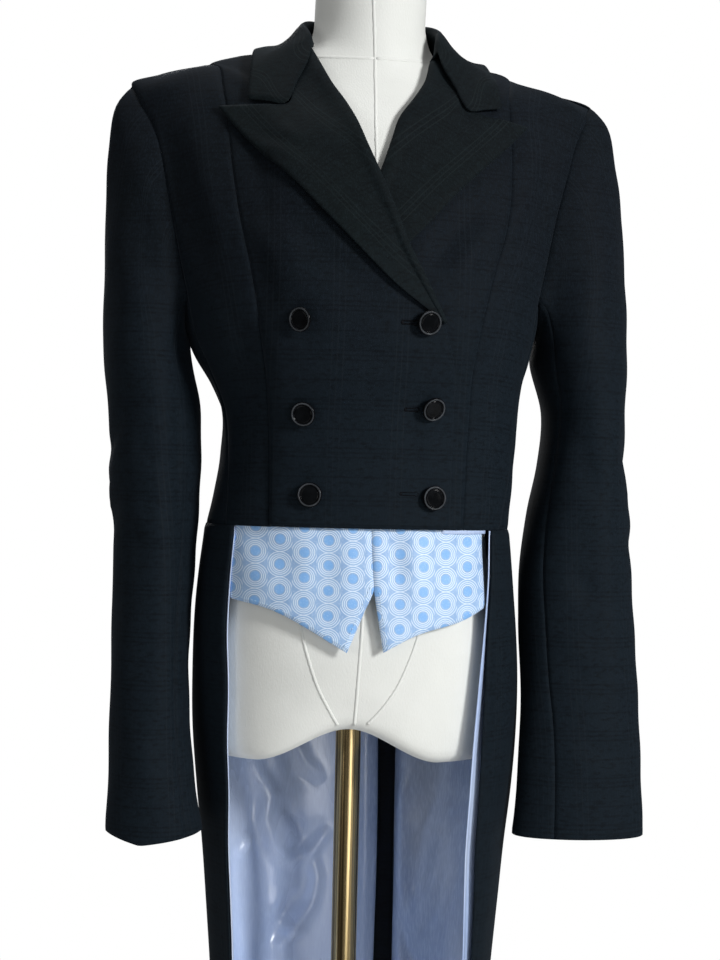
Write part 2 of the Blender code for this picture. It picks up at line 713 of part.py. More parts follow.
def with_shoulder(edge, turn):
    """An edge that reaches the shoulder, carried on along the shoulder seam to the neck."""
    tip = (turn, edge[-1][1])
    return edge[:-1] + spread([tip, (turn, NECK_POINT)], SHOULDER_ROWS)


def front_panel(sign, edge, out, count=10):
    """A front from its princess seam to its front edge and roll line."""
    low = spread(softened([coat.front(point.across, point.height) for point in edge]), EDGE_ROWS)
    opening = low[:-1] + spread(softened(mirrored_edge(ROLL_LINE, sign)), ROLL_ROWS)
    seam = aside(spread(princess_line(sign), SEAM_ROWS + HOLE_ROWS), -sign * PRINCESS_GAP / 2)
    seam = with_shoulder(seam, sign * (90.0 - GAP_TURN))
    grid = patch(
        spread([opening[0], seam[0]], count), straight(opening[-1], seam[-1], count, NECK_BOW), opening, seam
    )
    return laid("front_" + side_name(sign), grid, out, CLOTH, NAVY)


def side_front(sign, count=4):
    """The panel between the princess seam and the side body or armhole."""
    inner = aside(spread(princess_line(sign), SEAM_ROWS + HOLE_ROWS), sign * PRINCESS_GAP / 2)
    outer = seam_and_armhole("front", sign, -GAP / 2)
    for line in (inner, outer):
        line[-1] = (sign * (90.0 - GAP_TURN), line[-1][1])
    grid = patch(spread([inner[0], outer[0]], count), spread([inner[-1], outer[-1]], count), inner, outer)
    return laid("side_front_" + side_name(sign), grid, flat_out, CLOTH, NAVY)


def side_body(sign):
    """The panel under the arm."""
    near = seam_and_armhole("front", sign, GAP / 2)[:SEAM_ROWS + 1]
    far = seam_and_armhole("back", sign, -GAP / 2)[:SEAM_ROWS + 1]
    floor = armhole_floor(sign)
    floor[0], floor[-1] = near[-1], far[-1]
    grid = patch(spread([near[0], far[0]], FLOOR_COLUMNS), floor, near, far)
    return laid("side_body_" + side_name(sign), grid, flat_out, CLOTH, NAVY)


def back_panel(sign, count=8):
    """A back from the side body and armhole to the centre back."""
    near = with_shoulder(seam_and_armhole("back", sign, GAP / 2), sign * (90.0 + GAP_TURN))
    middle = [(sign * 180.0, HEM), (sign * 180.0, NECK_BACK)]
    far = aside(spread(middle, len(near) - 1), -sign * GAP / 2)
    neck = spread([near[-1], (sign * 130.0, NECK_BACK), far[-1]], count)
    grid = patch(spread([near[0], far[0]], count), neck, near, far)
    return laid("back_" + side_name(sign), grid, flat_out, CLOTH, NAVY)


def rolled(grid, base, sign):
    """The middle of a lapel's wall; its far column wraps round the front's edge in a soft roll."""
    rest = CLOTH + LAPEL_REST + CLOTH / 2
    lines = [[coat.point(turn, height, base(turn, height) + rest) for turn, height in row[:-1]]
             for row in grid]
    for index, line in enumerate(lines):
        turn, height = grid[index][-1]
        normal = coat.normal(turn, height)
        edge = coat.point(turn, height, base(turn, height) + CLOTH / 2)
        opened = ease(height, ROLL_LINE[0].height, ROLL_LINE[2].height)
        radius = ROLL * (ROLL_EASED + (1.0 - ROLL_EASED) * opened)
        above, below = grid[min(index + 1, len(grid) - 1)][-1], grid[max(index - 1, 0)][-1]
        along = (coat.bare(*above) - coat.bare(*below)).normalized()
        outward = along.cross(normal).normalized() * -sign
        for step in range(5):
            angle = math.pi * step / 4.0
            line.append(edge + outward * (ROLL_START + radius * math.sin(angle))
                        + normal * radius * (1.0 - math.cos(angle)))
        line[-5:] = reversed(line[-5:])
    return lines


def thickened(name, middle, thickness, look, ring=False):
    """A closed wall half its thickness to each side of a grid of points."""
    rows, count = len(middle), len(middle[0])
    under, over = [], []
    for row in range(rows):
        below, above = middle[max(row - 1, 0)], middle[min(row + 1, rows - 1)]
        low, high = [], []
        for column in range(count):
            if ring:
                left, right = (column - 1) % count, (column + 1) % count
            else:
                left, right = max(column - 1, 0), min(column + 1, count - 1)
            along = middle[row][right] - middle[row][left]
            upward = above[column] - below[column]
            normal = along.cross(upward).normalized()
            low.append(middle[row][column] - normal * thickness / 2)
            high.append(middle[row][column] + normal * thickness / 2)
        under.append(low)
        over.append(high)
    return surface(name, under, over, look, ring)


def lapel(sign, base, count=6):
    """A lapel from its free edge to the roll, with a peak at its upper corner."""
    free = list(LAPEL_EDGE)
    if sign > 0:
        free[-1] = EdgePoint(free[-1].across, free[-1].height - LEFT_TIP_DROP)
    free_places = softened(mirrored_edge(free, sign))
    roll_places = softened(mirrored_edge(ROLL_LINE, sign))
    top_points = [LAPEL_NOTCH, LAPEL_GORGE, ROLL_LINE[-1]]
    top_places = [free_places[-1]] + mirrored_edge(top_points, sign)
    free_places = spread(free_places, ROLL_ROWS)
    roll_places = spread(roll_places, ROLL_ROWS)
    bottom = spread([free_places[0], roll_places[0]], count)
    top = spread(top_places, count)
    grid = patch(bottom, top, free_places, roll_places)
    lines = rolled(grid, base, sign)
    if sign > 0:
        lines = [list(reversed(line)) for line in lines]
    return thickened("lapel_" + side_name(sign), lines, CLOTH, NAVY)


def around_neck(around, outward, height):
    """A point round the neck: the turn from the front, the distance out and the height."""
    angle = math.radians(around)
    return NECK_CENTRE + Vector((outward * math.sin(angle), -outward * math.cos(angle), height))


def on_shoulder(across, forward, lift):
    """A point over the coat's shoulders at a point of the plan."""
    turn, height = coat.front(across, coat.top(across, forward))
    return coat.point(turn if forward < 0.0 else math.copysign(180.0, turn) - turn, height, lift)


def collar_half(sign):
    """Lines across the collar from its front end to the centre back, on one side."""
    keys = range(len(COLLAR))
    runs = {name: Run(keys, [getattr(row, name) for row in COLLAR]) for name in CollarRow._fields}
    half = COLLAR_STATIONS // 2
    lift = CLOTH + COLLAR_REST + CLOTH / 2
    turn, height = mirrored_edge([LAPEL_NOTCH], sign)[0]
    step = COLLAR_CORNER[side_name(sign)]
    corner = coat.point(turn + sign * step.turn, height + step.rise, lift + step.lift)
    lines = []
    for station in range(half + 1):
        key = station * (len(COLLAR) - 1) / half
        row = CollarRow(*(runs[name](key) for name in CollarRow._fields))
        raised_end = lift + step.lift * (1.0 - ease(key, 0.0, 1.5))
        seam_lift = CLOTH + STAND_REST + CLOTH / 2
        seam = on_shoulder(NECK_CENTRE.x + sign * row.seam_x, row.seam_y, seam_lift)
        edge = on_shoulder(NECK_CENTRE.x + sign * row.edge_x, row.edge_y, raised_end)
        fold = around_neck(sign * row.around, row.fold_out, row.fold_up)
        outward = Vector((fold.x - NECK_CENTRE.x, fold.y - NECK_CENTRE.y, 0.0)).normalized()
        inner, crown, outer = fold - outward * ROLL, fold + Vector((0, 0, ROLL)), fold + outward * ROLL
        sag = COLLAR_SAG * ease(key, 0.6, 1.8)
        fall = []
        for share in (0.25, 0.50, 0.75):
            point = outer.lerp(edge, share)
            rest = on_shoulder(point.x, point.y, lift).z + COLLAR_CLEAR
            point.z = max(min(point.z, rest), point.z - sag * math.sin(math.pi * share))
            fall.append(point)
        at_end = 1.0 - ease(key, 0.0, 0.9)
        middle = fall[1].lerp(corner, at_end)
        quarter = fall[0].lerp((outer + middle) / 2.0, at_end)
        third = fall[2].lerp((middle + edge) / 2.0, at_end)
        lines.append([seam, (seam + inner) / 2.0, inner, crown, outer, quarter, middle, third, edge])
    return lines


def collar():
    """The collar in one piece, folded over at its top."""
    lines = collar_half(-1)[:-1] + list(reversed(collar_half(1)))
    return thickened("collar", lines, CLOTH, NAVY)


def armhole_loop(sign):
    """Places round an armhole: down its front from the shoulder tip and up its back."""
    front = armhole_line("front", sign)
    back = armhole_line("back", sign)
    return list(reversed(front))[:-1] + armhole_floor(sign)[:-1] + back[:-1]


def sleeve_rings(sign):
    """The outside of a sleeve, ring by ring from its cuff to the armhole."""
    rows = LEFT_SLEEVE if sign > 0 else RIGHT_SLEEVE
    runs = columns(rows, "height")
    low, high = rows[0].height, rows[-1].height
    turns = [2.0 * math.pi * column / SLEEVE_COLUMNS for column in range(SLEEVE_COLUMNS)]
    rings = []
    for row in range(ARM_ROWS + 1):
        height = low + (high - low) * row / ARM_ROWS
        inner, outer = runs["inner"](height), runs["outer"](height)
        centre, half = (inner + outer) / 2.0, (outer - inner) / 2.0
        middle, depth = runs["middle"](height), runs["half_depth"](height)
        twist = math.radians(runs["twist"](height))
        rings.append([
            Vector((
                sign * (centre + half * math.cos(turn + twist)),
                middle - depth * math.sin(turn + twist),
                height,
            ))
            for turn in turns
        ])
    loop = armhole_loop(sign)
    hole_middle = sum((coat.bare(*place) for place in loop), Vector()) / len(loop)
    ends, leans = [], []
    for index, place in enumerate(loop):
        normal = coat.normal(*place)
        point = coat.point(*place, CLOTH)
        inward = hole_middle - point
        inward = (inward - normal * inward.dot(normal)).normalized()
        topness = (1.0 + math.cos(turns[index])) / 2.0
        ends.append(point + inward * GAP)
        outward = Vector((sign, 0.0, 0.0))
        leans.append(normal * 0.012 + outward * SLEEVE_HEAD[side_name(sign)] * topness)
    base = rings[-1]
    for row in range(1, CAP_ROWS + 1):
        t = row / CAP_ROWS
        ring = []
        for start, end, lean in zip(base, ends, leans):
            climb = Vector((0.0, 0.0, 1.05 * max(0.012, end.z - start.z)))
            ring.append(
                start * (2 * t**3 - 3 * t**2 + 1) + climb * (t**3 - 2 * t**2 + t)
                + end * (3 * t**2 - 2 * t**3) - lean * (t**3 - t**2)
            )
        rings.append(ring)
    return rings


def sleeve_walls(rings, sign):
    """The inside of a sleeve: each ring's points moved in by the cloth's thickness."""
    inside = []
    for row, ring in enumerate(rings):
        below, above = rings[max(row - 1, 0)], rings[min(row + 1, len(rings) - 1)]
        line = []
        for column, point in enumerate(ring):
            around = ring[(column + 1) % len(ring)] - ring[column - 1]
            upward = above[column] - below[column]
            normal = around.cross(upward).normalized() * -sign
            line.append(point - normal * CLOTH)
        inside.append(line)
    return inside


def sleeve(sign):
    """The top sleeve and the under sleeve, parted at the front and hind seams."""
    outside = sleeve_rings(sign)
    inside = sleeve_walls(outside, sign)
    pieces = (
        ("top_sleeve_", range(HIND_SLEEVE_SEAM, SLEEVE_COLUMNS + FRONT_SLEEVE_SEAM + 1)),
        ("under_sleeve_", range(FRONT_SLEEVE_SEAM, HIND_SLEEVE_SEAM + 1)),
    )
    for name, picked in pieces:
        walls = []
        for rings in (inside, outside):
            grid = []
            for ring in rings:
                line = [ring[column % SLEEVE_COLUMNS].copy() for column in picked]
                line[0] += (line[1] - line[0]).normalized() * GAP
                line[-1] += (line[-2] - line[-1]).normalized() * GAP
                grid.append(line)
            walls.append(grid)
        surface(name + side_name(sign), walls[0], walls[1], NAVY)


def tail_edge(sign):
    """The front edge of a tail from its hem to the waist seam."""
    side = side_name(sign)
    return softened([coat.front(sign * getattr(row, side), row.height) for row in TAIL_EDGE])


def vent_edge(sign, across):
    """An edge of the back vent; its distance across the back is negative past the centre."""
    heights = [TAIL_HEM + (HEM - GAP - TAIL_HEM) * step / 8 for step in range(9)]
    line = [coat.back(across, height) for height in heights]
    return [(sign * turn, height) for turn, height in line]


def tail_grid(front, vent, count, rows=13):
    """Places between a tail's front edge, or a line nearer the back, and its vent edge."""
    near, far = spread(front, rows), spread(vent, rows)
    for line in (near, far):
        line[0] = (line[0][0], TAIL_HEM)
        line[-1] = (line[-1][0], HEM - GAP)
    return patch(spread([near[0], far[0]], count), spread([near[-1], far[-1]], count), near, far)


def right_tail_out(turn, height):
    return SATIN + GAP


def left_tail_out(turn, height):
    """The left tail climbs over the right one near the centre back."""
    across = coat.bare(turn, height).x if turn > 90.0 else 1.0
    lap = 1.0 - ease(across, VENT_UNDERLAP + VENT_FACING, VENT_UNDERLAP + VENT_CLIMB)
    return SATIN + GAP + (CLOTH + SATIN + LAP_REST) * lap


def tails():
    """Both tails, their linings and the dark facing of the vent."""
    right = tail_grid(tail_edge(-1), vent_edge(-1, -VENT_UNDERLAP), 12)
    laid("tail_right", right, right_tail_out, CLOTH, NAVY)
    laid("tail_lining_right", right, flat_out, SATIN, BLUE_SATIN, LINING_INSET, LINING_INSET)
    split = vent_edge(1, VENT_UNDERLAP + VENT_FACING)
    lined = tail_grid(tail_edge(1), split, 10)
    faced = tail_grid(split, vent_edge(1, 0.0), 3)
    whole = [line[:-1] + rest for line, rest in zip(lined, faced)]
    laid("tail_left", whole, left_tail_out, CLOTH, NAVY)
    laid("tail_lining_left", lined, left_lining_out, SATIN, BLUE_SATIN, LINING_INSET, GAP / 2)
    laid("vent_facing_left", faced, left_lining_out, SATIN, NAVY, GAP / 2, LINING_INSET)


def left_lining_out(turn, height):
    return left_tail_out(turn, height) - GAP - SATIN


def vest_out(turn, height):
    """The waistcoat points lie inside the fronts, and behind the lining at the wearer's left."""
    across = coat.bare(turn, height).x
    return -VEST_REST - PRINT - (SATIN + GAP) * ease(across, 0.046, 0.062)


def vest(sign, rows=7, count=8):
    """One waistcoat point from its side edge to the centre notch."""
    hem = RIGHT_VEST_HEM if sign < 0 else LEFT_VEST_HEM
    hem = spread(softened([coat.front(*point) for point in hem]), count)
    outer = hem[0] if sign < 0 else hem[-1]
    tip = hem[-1] if sign < 0 else hem[0]
    notch = coat.front(VEST_NOTCH.across + sign * GAP, VEST_NOTCH.height)
    centre = coat.front(VEST_MIDDLE + sign * GAP, VEST_TOP)
    corner = coat.front(sign * VEST_SIDE, VEST_TOP)
    side_line = spread([outer, corner], rows)
    middle_line = spread([tip, notch, centre], rows)
    near, far = (side_line, middle_line) if sign < 0 else (middle_line, side_line)
    top = spread([near[-1], far[-1]], count)
    return laid("waistcoat_point_" + side_name(sign), patch(hem, top, near, far), vest_out, PRINT, BLUE_PRINT)


def hem_lining():
    """The lining that shows as a sliver below the hem of the lower front."""
    low, high = HEM - HEM_LINING_DROP, HEM + HEM_LINING_RISE
    near, far = [spread([coat.front(x, low), coat.front(x, high)], 2) for x in HEM_LINING_SPAN]
    grid = patch(spread([near[0], far[0]], 4), spread([near[-1], far[-1]], 4), near, far)
    return laid("front_hem_lining", grid, lambda turn, height: -HEM_LINING_REST - SATIN, SATIN, BLUE_SATIN)


def button(row):
    """A turned button on its shank, set square to the cloth and tipped as it hangs."""
    mesh = bmesh.new()
    profile = [(share * BUTTON_RADIUS, rise * BUTTON_RADIUS + BUTTON_SHANK) for share, rise in BUTTON_PROFILE]
    shank = BUTTON_RADIUS * SHANK_SHARE
    tipped = math.radians(abs(row.tilt_up) + abs(row.tilt_side))
    lift = max(0.0, BUTTON_RADIUS * math.sin(tipped) - BUTTON_SHANK * math.cos(tipped))
    foot = -0.9 * max(0.0, lift - shank * math.sin(tipped))
    profile += [(shank, BUTTON_SHANK), (shank, foot), (0.0, foot)]
    rings = []
    for radius, rise in profile:
        if radius == 0.0:
            rings.append([mesh.verts.new((0.0, 0.0, rise))])
            continue
        turns = [2.0 * math.pi * side / BUTTON_SIDES for side in range(BUTTON_SIDES)]
        rings.append([mesh.verts.new((radius * math.cos(t), radius * math.sin(t), rise)) for t in turns])
    for ring, following in zip(rings, rings[1:]):
        for side in range(BUTTON_SIDES):
            ahead = (side + 1) % BUTTON_SIDES
            corners = [ring[side % len(ring)], following[side % len(following)]]
            corners += [following[ahead % len(following)], ring[ahead % len(ring)]]
            mesh.faces.new(list(dict.fromkeys(corners)))
    turn, height = coat.front(row.across, row.height)
    normal = coat.normal(turn, height)
    seat = coat.point(turn, height, right_front_out(turn, height) + CLOTH + BUTTON_REST - row.sink)
    upright = normal.to_track_quat("Z", "Y").to_matrix().to_4x4()
    tip = Matrix.Rotation(math.radians(row.tilt_up), 4, "X")
    tip = tip @ Matrix.Rotation(math.radians(row.tilt_side), 4, "Y")
    mesh.transform(Matrix.Translation(seat + normal * lift) @ upright @ tip)
    return place_mesh(row.name, mesh, BLACK_HORN)


def arch_lift(across, height):
    """The form's lower edge rises in an arch between the hips."""
    share = max(0.0, 1.0 - abs(across - ARCH_MIDDLE) / ARCH_HALF_WIDTH)
    fade = 1.0 - ease(height, 0.850, 0.930)
    return ARCH_RISE * share * share * (3.0 - 2.0 * share) * fade


def dress_form(sides=36):
    """The limbless form: one closed skin with a bored socket for its pole."""
    mesh = bmesh.new()
    heights = [row.height for row in FORM]
    turns = [360.0 * side / sides for side in range(sides)]
    rings = []
    for share in (0.36, 0.72):
        ring = []
        for turn in turns:
            point = form.bare(turn, heights[0])
            ring.append(Vector((point.x * share, point.y * share, heights[0] - FORM_FLOOR_DIP)))
        rings.append(ring)
    rings += [[form.bare(turn, height) for turn in turns] for height in heights]
    verts = []
    for ring in rings:
        for point in ring:
            point.z += arch_lift(point.x, point.z)
        verts.append([mesh.verts.new(point) for point in ring])
    for ring, following in zip(verts, verts[1:]):
        for side in range(sides):
            ahead = (side + 1) % sides
            mesh.faces.new((ring[side], ring[ahead], following[ahead], following[side]))
    mesh.faces.new(list(reversed(verts[0])))
    mesh.faces.new(verts[-1])
    body = place_mesh("dress_form", mesh, JERSEY)
    bpy.ops.mesh.primitive_cylinder_add(
        vertices=POLE_SIDES, radius=POLE_RADIUS + GAP, depth=SOCKET_TOP - SOCKET_FOOT,
        location=(0.0, 0.0, (SOCKET_TOP + SOCKET_FOOT) / 2),
    )
    cutter = bpy.context.object
    cutter.name = "socket_cutter"
    cutter.hide_render = True
    cutter.display_type = "WIRE"
    bore = body.modifiers.new("socket", "BOOLEAN")
    bore.operation = "DIFFERENCE"
    bore.solver = "EXACT"
    bore.object = cutter
    return body


def turned(name, profile, look, sides=POLE_SIDES):
    """A solid of revolution about the upright axis from a profile of radii and heights."""
    mesh = bmesh.new()
    rings = []
    for radius, height in profile:
        turns = [2.0 * math.pi * side / sides for side in range(sides)]
        rings.append([mesh.verts.new((radius * math.cos(t), radius * math.sin(t), height)) for t in turns])
    for ring, following in zip(rings, rings[1:]):
        for side in range(sides):
            ahead = (side + 1) % sides
            mesh.faces.new((ring[side], ring[ahead], following[ahead], following[side]))
    mesh.faces.new(list(reversed(rings[0])))
    mesh.faces.new(rings[-1])
    return place_mesh(name, mesh, look)


def stand():
    """The round base and the pole that stands on it."""
    rim = BASE_HEIGHT - BASE_BEVEL
    outline = ((BASE_RADIUS, 0.0), (BASE_RADIUS, rim), (BASE_RADIUS - BASE_BEVEL, BASE_HEIGHT))
    turned("base", outline, BRASS, BASE_SIDES)
    turned("pole", ((POLE_RADIUS, BASE_HEIGHT + GAP), (POLE_RADIUS, SOCKET_TOP - GAP)), BRASS)


def main():
    for item in list(bpy.data.objects):
        bpy.data.objects.remove(item, do_unlink=True)
    stand()
    dress_form()
    front_panel(-1, FRONT_EDGE, right_front_out)
    front_panel(1, UNDER_EDGE, flat_out)
    lapel(-1, right_front_out)
    lapel(1, flat_out)
    for sign in (-1, 1):
        side_front(sign)
        side_body(sign)
        back_panel(sign)
        sleeve(sign)
        vest(sign)
    collar()
    tails()
    hem_lining()
    for row in BUTTONS:
        button(row)


main()
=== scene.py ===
import math
from collections import namedtuple

import bmesh
import bpy
import numpy as np
from mathutils import Matrix, Vector


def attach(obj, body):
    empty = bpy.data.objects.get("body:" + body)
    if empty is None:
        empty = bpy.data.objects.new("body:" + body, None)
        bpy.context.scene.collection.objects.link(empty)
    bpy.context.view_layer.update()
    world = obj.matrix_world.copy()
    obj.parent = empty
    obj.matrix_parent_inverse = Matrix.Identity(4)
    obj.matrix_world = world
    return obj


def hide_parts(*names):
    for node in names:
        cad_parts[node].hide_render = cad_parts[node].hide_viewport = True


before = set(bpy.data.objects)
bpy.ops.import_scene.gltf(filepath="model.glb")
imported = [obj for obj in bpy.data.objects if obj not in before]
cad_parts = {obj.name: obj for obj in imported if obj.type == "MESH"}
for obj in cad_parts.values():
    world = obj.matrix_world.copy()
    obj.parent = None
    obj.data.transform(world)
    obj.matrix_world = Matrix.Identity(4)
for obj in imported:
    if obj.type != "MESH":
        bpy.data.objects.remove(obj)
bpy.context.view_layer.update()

# The signs of the wearer's sides along X
RIGHT, LEFT = -1, 1

# Walls of cloth, and the clear space at every seam
GAP = 0.0003
PRINCESS_GAP = 0.0004
CLOTH = 0.0016
SATIN = 0.0009
PRINT = 0.0011

# Heights of the coat, and the turns and widths of its gaps and laps
HEM = 1.0400
TAIL_HEM = 0.460
UNDERARM = 1.2110
FLOOR_RISE = 0.0060
FLOOR_RAMP = 9.0
SHOULDER_TIP = {"right": 1.4118, "left": 1.4054}
PRINCESS_TOP = {"right": 1.4342, "left": 1.4286}
PRINCESS_SHOULDER = 0.1245
NECK_POINT = 1.4470
NECK_BACK = 1.4495
SHOULDER_BAND = (1.300, 1.4519)
GAP_TURN = 0.22
VENT_UNDERLAP = 0.0295
VENT_FACING = 0.0260
VENT_CLIMB = 0.0500
LINING_INSET = 0.0020
LAP_REST = 0.0010

# The overlap of the two fronts, which the lower one's lapel fills out
FRONT_STEP = CLOTH + 0.0010
LAPEL_STEP = 0.0072
LAPEL_REST = 0.0016
ROLL = 0.0024
ROLL_EASED = 0.55
ROLL_START = GAP + 0.50 * CLOTH

# Where the upper front climbs over the lower one and over its lapel, across, and up to its end
CLIMB_FRONT = (-0.094, -0.070)
CLIMB_LAPEL = (-0.094, -0.066)
CLIMB_LOW = (1.135, 1.178)
CLIMB_HIGH = (1.352, 1.392)
CLIMB_END = (1.370, 1.405)

# The stand and the dress form
POLE_RADIUS = 0.0110
BASE_RADIUS = 0.180
BASE_HEIGHT = 0.012
BASE_BEVEL = 0.0025
SOCKET_TOP = 0.9400
ARCH_RISE = 0.0290
ARCH_HALF_WIDTH = 0.078
ARCH_MIDDLE = -0.0080
ARCH_FADE = (0.850, 0.930)
NECK_CENTRE = Vector((0.0040, -0.0080, 0.0))

# Buttons
BUTTON_RADIUS = 0.0102
BUTTON_SHANK = 0.0016
BUTTON_REST = 0.0008
SHANK_SHARE = 0.24


def table(kind, *rows):
    """The rows of a table, each with its columns by name."""
    return [kind(*row) for row in rows]


Section = namedtuple("Section", "height right left front back corner shift")

# The inside of the coat, from the hem of its tails to its neck
COAT = table(
    Section,
    (0.455, 0.105, 0.105, 0.078, 0.116, 0.05, 0.004),
    (0.66, 0.1187, 0.1187, 0.088, 0.117, 0.05, 0.006),
    (0.76, 0.127, 0.127, 0.096, 0.118, 0.05, 0.0065),
    (0.87, 0.137, 0.137, 0.104, 0.119, 0.05, 0.0055),
    (0.925, 0.1378, 0.1378, 0.107, 0.118, 0.05, 0.0045),
    (0.98, 0.1335, 0.1365, 0.107, 0.111, 0.06, 0.002),
    (1.041, 0.1255, 0.133, 0.1, 0.094, 0.08, 0.0),
    (1.063, 0.121, 0.135, 0.099, 0.088, 0.08, 0.0),
    (1.092, 0.115, 0.1365, 0.1, 0.084, 0.08, 0.0),
    (1.127, 0.1135, 0.1385, 0.105, 0.084, 0.08, 0.0),
    (1.16, 0.124, 0.1415, 0.113, 0.089, 0.08, 0.0),
    (1.188, 0.141, 0.1485, 0.119, 0.094, 0.08, 0.0),
    (1.21, 0.1505, 0.1535, 0.1225, 0.099, 0.08, 0.0),
    (1.235, 0.1575, 0.1585, 0.1235, 0.103, 0.07, 0.0),
    (1.27, 0.168, 0.168, 0.119, 0.107, 0.05, 0.0),
    (1.3, 0.176, 0.176, 0.1115, 0.107, 0.03, 0.0),
    (1.33, 0.184, 0.184, 0.102, 0.104, 0.0, 0.001),
    (1.36, 0.192, 0.192, 0.091, 0.097, -0.05, 0.002),
    (1.387, 0.1985, 0.1965, 0.08, 0.085, -0.12, 0.003),
    (1.398, 0.2015, 0.2, 0.0755, 0.078, -0.16, 0.0035),
    (1.405, 0.203, 0.199, 0.072, 0.073, -0.2, 0.004),
    (1.41, 0.2035, 0.1838, 0.0695, 0.068, -0.23, 0.004),
    (1.414, 0.203, 0.17, 0.0675, 0.064, -0.25, 0.004),
    (1.4185, 0.201, 0.1525, 0.065, 0.06, -0.26, 0.0045),
    (1.4225, 0.1855, 0.1385, 0.0635, 0.0565, -0.28, 0.0045),
    (1.427, 0.167, 0.1245, 0.0618, 0.053, -0.28, 0.0045),
    (1.431, 0.1505, 0.113, 0.0608, 0.0505, -0.26, 0.0045),
    (1.435, 0.1345, 0.086, 0.06, 0.0482, -0.23, 0.0045),
    (1.439, 0.1185, 0.0725, 0.0592, 0.046, -0.18, 0.0045),
    (1.4425, 0.0885, 0.0655, 0.0585, 0.044, -0.12, 0.0045),
    (1.445, 0.074, 0.0615, 0.058, 0.043, -0.06, 0.0045),
    (1.452, 0.06, 0.055, 0.057, 0.041, 0.0, 0.0045),
)

# The outside of the dress form, from the round of its lower edge to its neck
FORM = table(
    Section,
    (0.845, 0.118, 0.118, 0.08, 0.088, 0.05, 0.002),
    (0.849, 0.1235, 0.1235, 0.0855, 0.093, 0.05, 0.002),
    (0.858, 0.1262, 0.1262, 0.0885, 0.096, 0.05, 0.002),
    (0.9, 0.129, 0.129, 0.094, 0.103, 0.05, 0.002),
    (0.95, 0.127, 0.127, 0.096, 0.105, 0.05, 0.001),
    (1.0, 0.119, 0.119, 0.093, 0.094, 0.06, 0.0),
    (1.041, 0.112, 0.114, 0.089, 0.08, 0.08, 0.0),
    (1.08, 0.107, 0.109, 0.087, 0.072, 0.08, 0.0),
    (1.127, 0.107, 0.109, 0.093, 0.074, 0.08, 0.0),
    (1.16, 0.115, 0.117, 0.104, 0.08, 0.08, 0.0),
    (1.188, 0.13, 0.131, 0.113, 0.087, 0.08, 0.0),
    (1.21, 0.142, 0.143, 0.119, 0.094, 0.08, 0.0),
    (1.235, 0.15, 0.15, 0.1212, 0.1, 0.07, 0.0),
    (1.27, 0.156, 0.156, 0.1175, 0.105, 0.05, 0.0),
    (1.3, 0.16, 0.16, 0.11, 0.1052, 0.03, 0.0),
    (1.33, 0.164, 0.164, 0.1005, 0.1022, 0.0, 0.001),
    (1.36, 0.167, 0.167, 0.0895, 0.0952, -0.05, 0.002),
    (1.387, 0.168, 0.168, 0.0785, 0.082, -0.12, 0.003),
    (1.405, 0.167, 0.16, 0.0705, 0.07, -0.2, 0.004),
    (1.413, 0.163, 0.15, 0.065, 0.0605, -0.26, 0.004),
    (1.4185, 0.159, 0.139, 0.0618, 0.0555, -0.28, 0.0045),
    (1.4245, 0.153, 0.121, 0.0598, 0.0505, -0.28, 0.0045),
    (1.4305, 0.138, 0.098, 0.058, 0.0465, -0.26, 0.0045),
    (1.4365, 0.113, 0.074, 0.057, 0.043, -0.2, 0.0045),
    (1.441, 0.083, 0.064, 0.0565, 0.041, -0.12, 0.0045),
    (1.447, 0.061, 0.057, 0.056, 0.0395, -0.04, 0.0045),
    (1.457, 0.052, 0.0515, 0.0556, 0.0385, 0.0, 0.0046),
    (1.474, 0.0482, 0.0482, 0.0558, 0.0387, 0.0, 0.0048),
    (1.5, 0.0482, 0.0482, 0.056, 0.0393, 0.0, 0.0055),
    (1.525, 0.0478, 0.0478, 0.0553, 0.0387, 0.0, 0.0058),
    (1.53, 0.044, 0.044, 0.0515, 0.035, 0.0, 0.0058),
)

SeamRow = namedtuple("SeamRow", "height right left")

# The princess seams of the fronts, as distances from the middle plane
PRINCESS = table(
    SeamRow,
    (1.04, 0.0766, 0.0829), (1.09, 0.0764, 0.084), (1.135, 0.0791, 0.085), (1.188, 0.0869, 0.0885),
    (1.24, 0.096, 0.0985), (1.297, 0.1084, 0.115), (1.333, 0.1137, 0.1182), (1.373, 0.1181, 0.1196),
    (1.405, 0.1215, 0.1215),
)

# The front edges of the tails, as distances from the middle plane
TAIL_EDGE = table(
    SeamRow,
    (0.46, 0.093, 0.096), (0.68, 0.099, 0.101), (0.76, 0.104, 0.1005), (0.83, 0.1055, 0.1025),
    (0.87, 0.1075, 0.1035), (0.93, 0.108, 0.105), (0.964, 0.1105, 0.107), (1.0, 0.108, 0.109),
    (1.0395, 0.105, 0.1095),
)

ArmRow = namedtuple("ArmRow", "height front back")

# The armholes above the side body, as turns forward and backward of the centre front
ARMHOLE = table(
    ArmRow,
    (1.234, 69.0, 119.0), (1.268, 67.3, 117.0), (1.296, 66.5, 115.0), (1.326, 66.7, 113.0),
    (1.358, 67.8, 110.0), (1.385, 72.5, 104.0), (1.401, 80.0, 98.0),
)

# The seams of the side body below the armhole, as turns
SIDE_SEAMS = table(
    ArmRow,
    (1.04, 61.0, 124.0), (1.09, 70.0, 123.0), (1.127, 78.0, 122.0), (1.16, 77.0, 121.0), (1.2, 72.0, 120.0),
)

EdgePoint = namedtuple("EdgePoint", "across height")

# The right front's roll line from the break point up, measured from the middle plane
ROLL_LINE = table(
    EdgePoint,
    (0.056, 1.208), (0.048, 1.222), (0.0365, 1.242), (0.0232, 1.2677), (0.0088, 1.3054), (-0.0042, 1.3375),
    (-0.0258, 1.39), (-0.0438, 1.4284),
)

